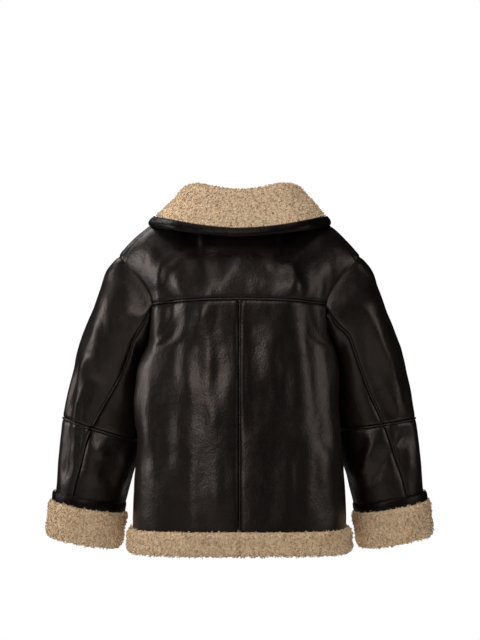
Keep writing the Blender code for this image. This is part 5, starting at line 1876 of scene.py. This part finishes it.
# ================================================================ sizes and colours to change
def colour_of(name, description, default):
    return bpy.props.FloatVectorProperty(
        name=name, description=description, subtype="COLOR", size=3, min=0, max=1, default=default)


def share_of(name, description, default):
    return bpy.props.FloatProperty(name=name, description=description, min=0, max=1, default=default)


def length_of(name, description, default, **limits):
    return bpy.props.FloatProperty(
        name=name, description=description, unit="LENGTH", subtype="DISTANCE", default=default,
        **limits)


class ShearlingLeather(bpy.types.PropertyGroup):
    colour: colour_of("Colour", "Darkest colour of the hide", (0.0018, 0.0013, 0.0011))
    worn_colour: colour_of(
        "Worn colour", "Where the hide is a little lighter", (0.0054, 0.0036, 0.0030))
    roughness: share_of("Roughness", "Middle roughness of the hide", 0.385)
    specular: share_of("Shine", "Strength of the hide's reflection", 0.45)
    wax: share_of("Wax", "Strength of the waxed top layer", 0.0)
    grain: length_of("Grain", "Size of the pebbled grain", 0.0030, min=0.0005, max=0.01)
    grain_height: length_of("Grain height", "Height of the pebbled grain", 0.00022, min=0, max=0.001)


class ShearlingWool(bpy.types.PropertyGroup):
    # the root colour is darker than the tips' as painted shade deep in the pile
    shaded_root_colour: colour_of("Root colour", "Colour of the wool at its roots", (0.80, 0.55, 0.335))
    tip_colour: colour_of("Tip colour", "Colour of the wool at its tips", (1.0, 0.755, 0.50))
    pitch: length_of("Pitch", "Distance between locks", 0.0044, min=0.002, max=0.02)
    length: length_of("Length", "Length of a lock along its lean", 0.0048, min=0.001, max=0.02)
    curl: length_of("Curl", "Radius of a lock's coil", 0.0013, min=0.0002, max=0.005)
    strand: length_of("Strand", "Radius of a lock's strand", 0.0011, min=0.0001, max=0.003)


class ShearlingSewing(bpy.types.PropertyGroup):
    colour: colour_of("Thread colour", "Colour of the thread", (0.022, 0.016, 0.014))
    stitch: length_of("Stitch", "Length of a stitch", 0.0034, min=0.001, max=0.01)
    gap: length_of("Gap", "Gap between stitches", 0.0011, min=0.0002, max=0.01)
    thread: length_of("Thread", "Thickness of the thread", 0.0006, min=0.0002, max=0.002)


class ShearlingStudio(bpy.types.PropertyGroup):
    camera_away: length_of("Camera distance", "From the coat's middle to the camera", 3.0, min=0.5)
    camera_height: length_of("Camera height", "Height of the camera over the coat's origin", -0.2147)
    camera_aside: length_of("Camera aside", "How far the camera stands to the right", 0.0009)
    view_height: length_of(
        "View height", "Height of the picture at the coat's middle", 1.19488, min=0.1)
    floor_drop: length_of("Floor below", "From the coat's origin down to the floor", 1.45, min=0.7)
    floor_reach: length_of("Floor radius", "Radius of the floor", 2.6, min=0.5)
    surround: bpy.props.FloatProperty(
        name="Surround", description="Light from all round", min=0, default=0.01)


GROUPS = {
    "coat_leather": ShearlingLeather,
    "coat_wool": ShearlingWool,
    "coat_sewing": ShearlingSewing,
    "coat_studio": ShearlingStudio,
}


# ================================================================ operators
class SHEARLING_OT_panels(bpy.types.Operator):
    """Make the leather and wool panels of the body and the sleeves"""

    bl_idname = "shearling.panels"
    bl_label = "Panels"

    def execute(self, context):
        for name in coarse_forms()[0]:
            made = along_body(leather_panel(name), [name])
            cloth(made, PANEL_CUTS[name.replace("left", "side").replace("right", "side")])
        return {"FINISHED"}


class SHEARLING_OT_welts(bpy.types.Operator):
    """Sew the padded welts over the seams, with a row of stitches at each side"""

    bl_idname = "shearling.welts"
    bl_label = "Welts"

    def execute(self, context):
        rows = []
        runs = [*body_welts(), *(run for side in SIDES for run in sleeve_welts(side))]
        for name, line, out, closed in runs:
            along_body(welt_strip(f"{name}_strip", line, out, closed), [name])
            for offset in (-STITCH_BESIDE, STITCH_BESIDE):
                rows.append(stitch_lines(line, out, offset, STITCH_LIFT, closed))
        stitches("welt_stitches", rows)
        return {"FINISHED"}


class SHEARLING_OT_cuffs(bpy.types.Operator):
    """Make the turned wool cuffs and the leather strips that bind them"""

    bl_idname = "shearling.cuffs"
    bl_label = "Cuffs"

    def execute(self, context):
        random = np.random.default_rng(WOOL_SEED)
        for side in SIDES:
            made, locks = turned_cuff(side, random)
            cloth(made, CUFF_CUT, [locks])
            row = stitch_lines(*sleeve_ring(side, *CUFF_STITCH_PLACE), 0.0, 0.0, True)
            thread = stitches(f"cuff_{side}_stitches", [row])
            cloth(cuff_strip(side), CUFF_STRIP_CUT, [thread])
        return {"FINISHED"}


class SHEARLING_OT_hem(bpy.types.Operator):
    """Make the wool band under the leather's lower edge"""

    bl_idname = "shearling.hem"
    bl_label = "Hem"

    def execute(self, context):
        random = np.random.default_rng(WOOL_SEED + 1)
        for side in SIDES:
            for name in ("back", "front"):
                made, locks = hem_piece(name, side, random)
                cloth(made, HEM_CUT, [locks])
        return {"FINISHED"}


class SHEARLING_OT_collar(bpy.types.Operator):
    """Make the turned-down wool collar and the leather strip round its edge"""

    bl_idname = "shearling.collar"
    bl_label = "Collar"

    def execute(self, context):
        made, locks = woolly_collar(np.random.default_rng(WOOL_SEED + 2))
        strip, line, out = collar_strip()
        thread = stitches("collar_stitches", [stitch_lines(line, out, 0.0, 0.0)])
        cloth(made, COLLAR_CUT, locks)
        cloth(strip, COLLAR_STRIP_CUT, [thread])
        return {"FINISHED"}


class SHEARLING_OT_zip(bpy.types.Operator):
    """Sew the front edges and give the zip its teeth, its woven tapes and its worn metal"""

    bl_idname = "shearling.zip"
    bl_label = "Zip"

    def execute(self, context):
        rows = []
        for side, edge in (("left", "first"), ("right", "last")):
            cloth(rounded(f"zip_tape_{side}", TAPE), ZIP_TAPE_CUT)
            line, out = trimmed(*seam_line(f"front_{side}", edge), *FRONT_STITCH_ENDS)
            beside = -SIDES[side] * FRONT_STITCH_BESIDE
            rows.append(stitch_lines(line, out, beside, FRONT_STITCH_LIFT))
        stitches("front_stitches", rows)
        zip_teeth()
        rounded("zip_slider", METAL, SLIDER_EASE)
        rounded("zip_pull", METAL, PULL_EASE)
        return {"FINISHED"}


class SHEARLING_OT_studio(bpy.types.Operator):
    """Set the floor, the light and the camera"""

    bl_idname = "shearling.studio"
    bl_label = "Studio"

    def execute(self, context):
        look = context.scene.coat_studio
        context.scene.view_settings.view_transform = "Standard"
        studio_world(look)
        studio_floor(look)
        for name, *light in STUDIO_LIGHTS:
            area_light(name, *light)
        studio_camera(look)
        return {"FINISHED"}


OPERATORS = (
    SHEARLING_OT_panels,
    SHEARLING_OT_welts,
    SHEARLING_OT_cuffs,
    SHEARLING_OT_hem,
    SHEARLING_OT_collar,
    SHEARLING_OT_zip,
    SHEARLING_OT_studio,
)


class SHEARLING_PT_coat(bpy.types.Panel):
    """The coat's pieces, with the sizes and colours they are made to"""

    bl_idname = "SHEARLING_PT_coat"
    bl_label = "Shearling Coat"
    bl_space_type = "VIEW_3D"
    bl_region_type = "UI"
    bl_category = "Coat"

    def draw(self, context):
        for operator in OPERATORS:
            self.layout.operator(operator.bl_idname)
        for group, kind in GROUPS.items():
            box = self.layout.box()
            for name in kind.__annotations__:
                box.prop(getattr(context.scene, group), name)


def register():
    for kind in (*GROUPS.values(), *OPERATORS, SHEARLING_PT_coat):
        bpy.utils.register_class(kind)
    for group, kind in GROUPS.items():
        setattr(bpy.types.Scene, group, bpy.props.PointerProperty(type=kind))


def unregister():
    for group in GROUPS:
        delattr(bpy.types.Scene, group)
    for kind in reversed((*GROUPS.values(), *OPERATORS, SHEARLING_PT_coat)):
        bpy.utils.unregister_class(kind)


def main():
    register()
    bpy.ops.shearling.panels()
    bpy.ops.shearling.welts()
    bpy.ops.shearling.cuffs()
    bpy.ops.shearling.hem()
    bpy.ops.shearling.collar()
    bpy.ops.shearling.zip()
    bpy.ops.shearling.studio()
    boxes = {"cad": CAD_BOX, "visual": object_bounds()}
    {name: [list(corner) for corner in box] for name, box in boxes.items()}


if __name__ == "__main__":
    main()
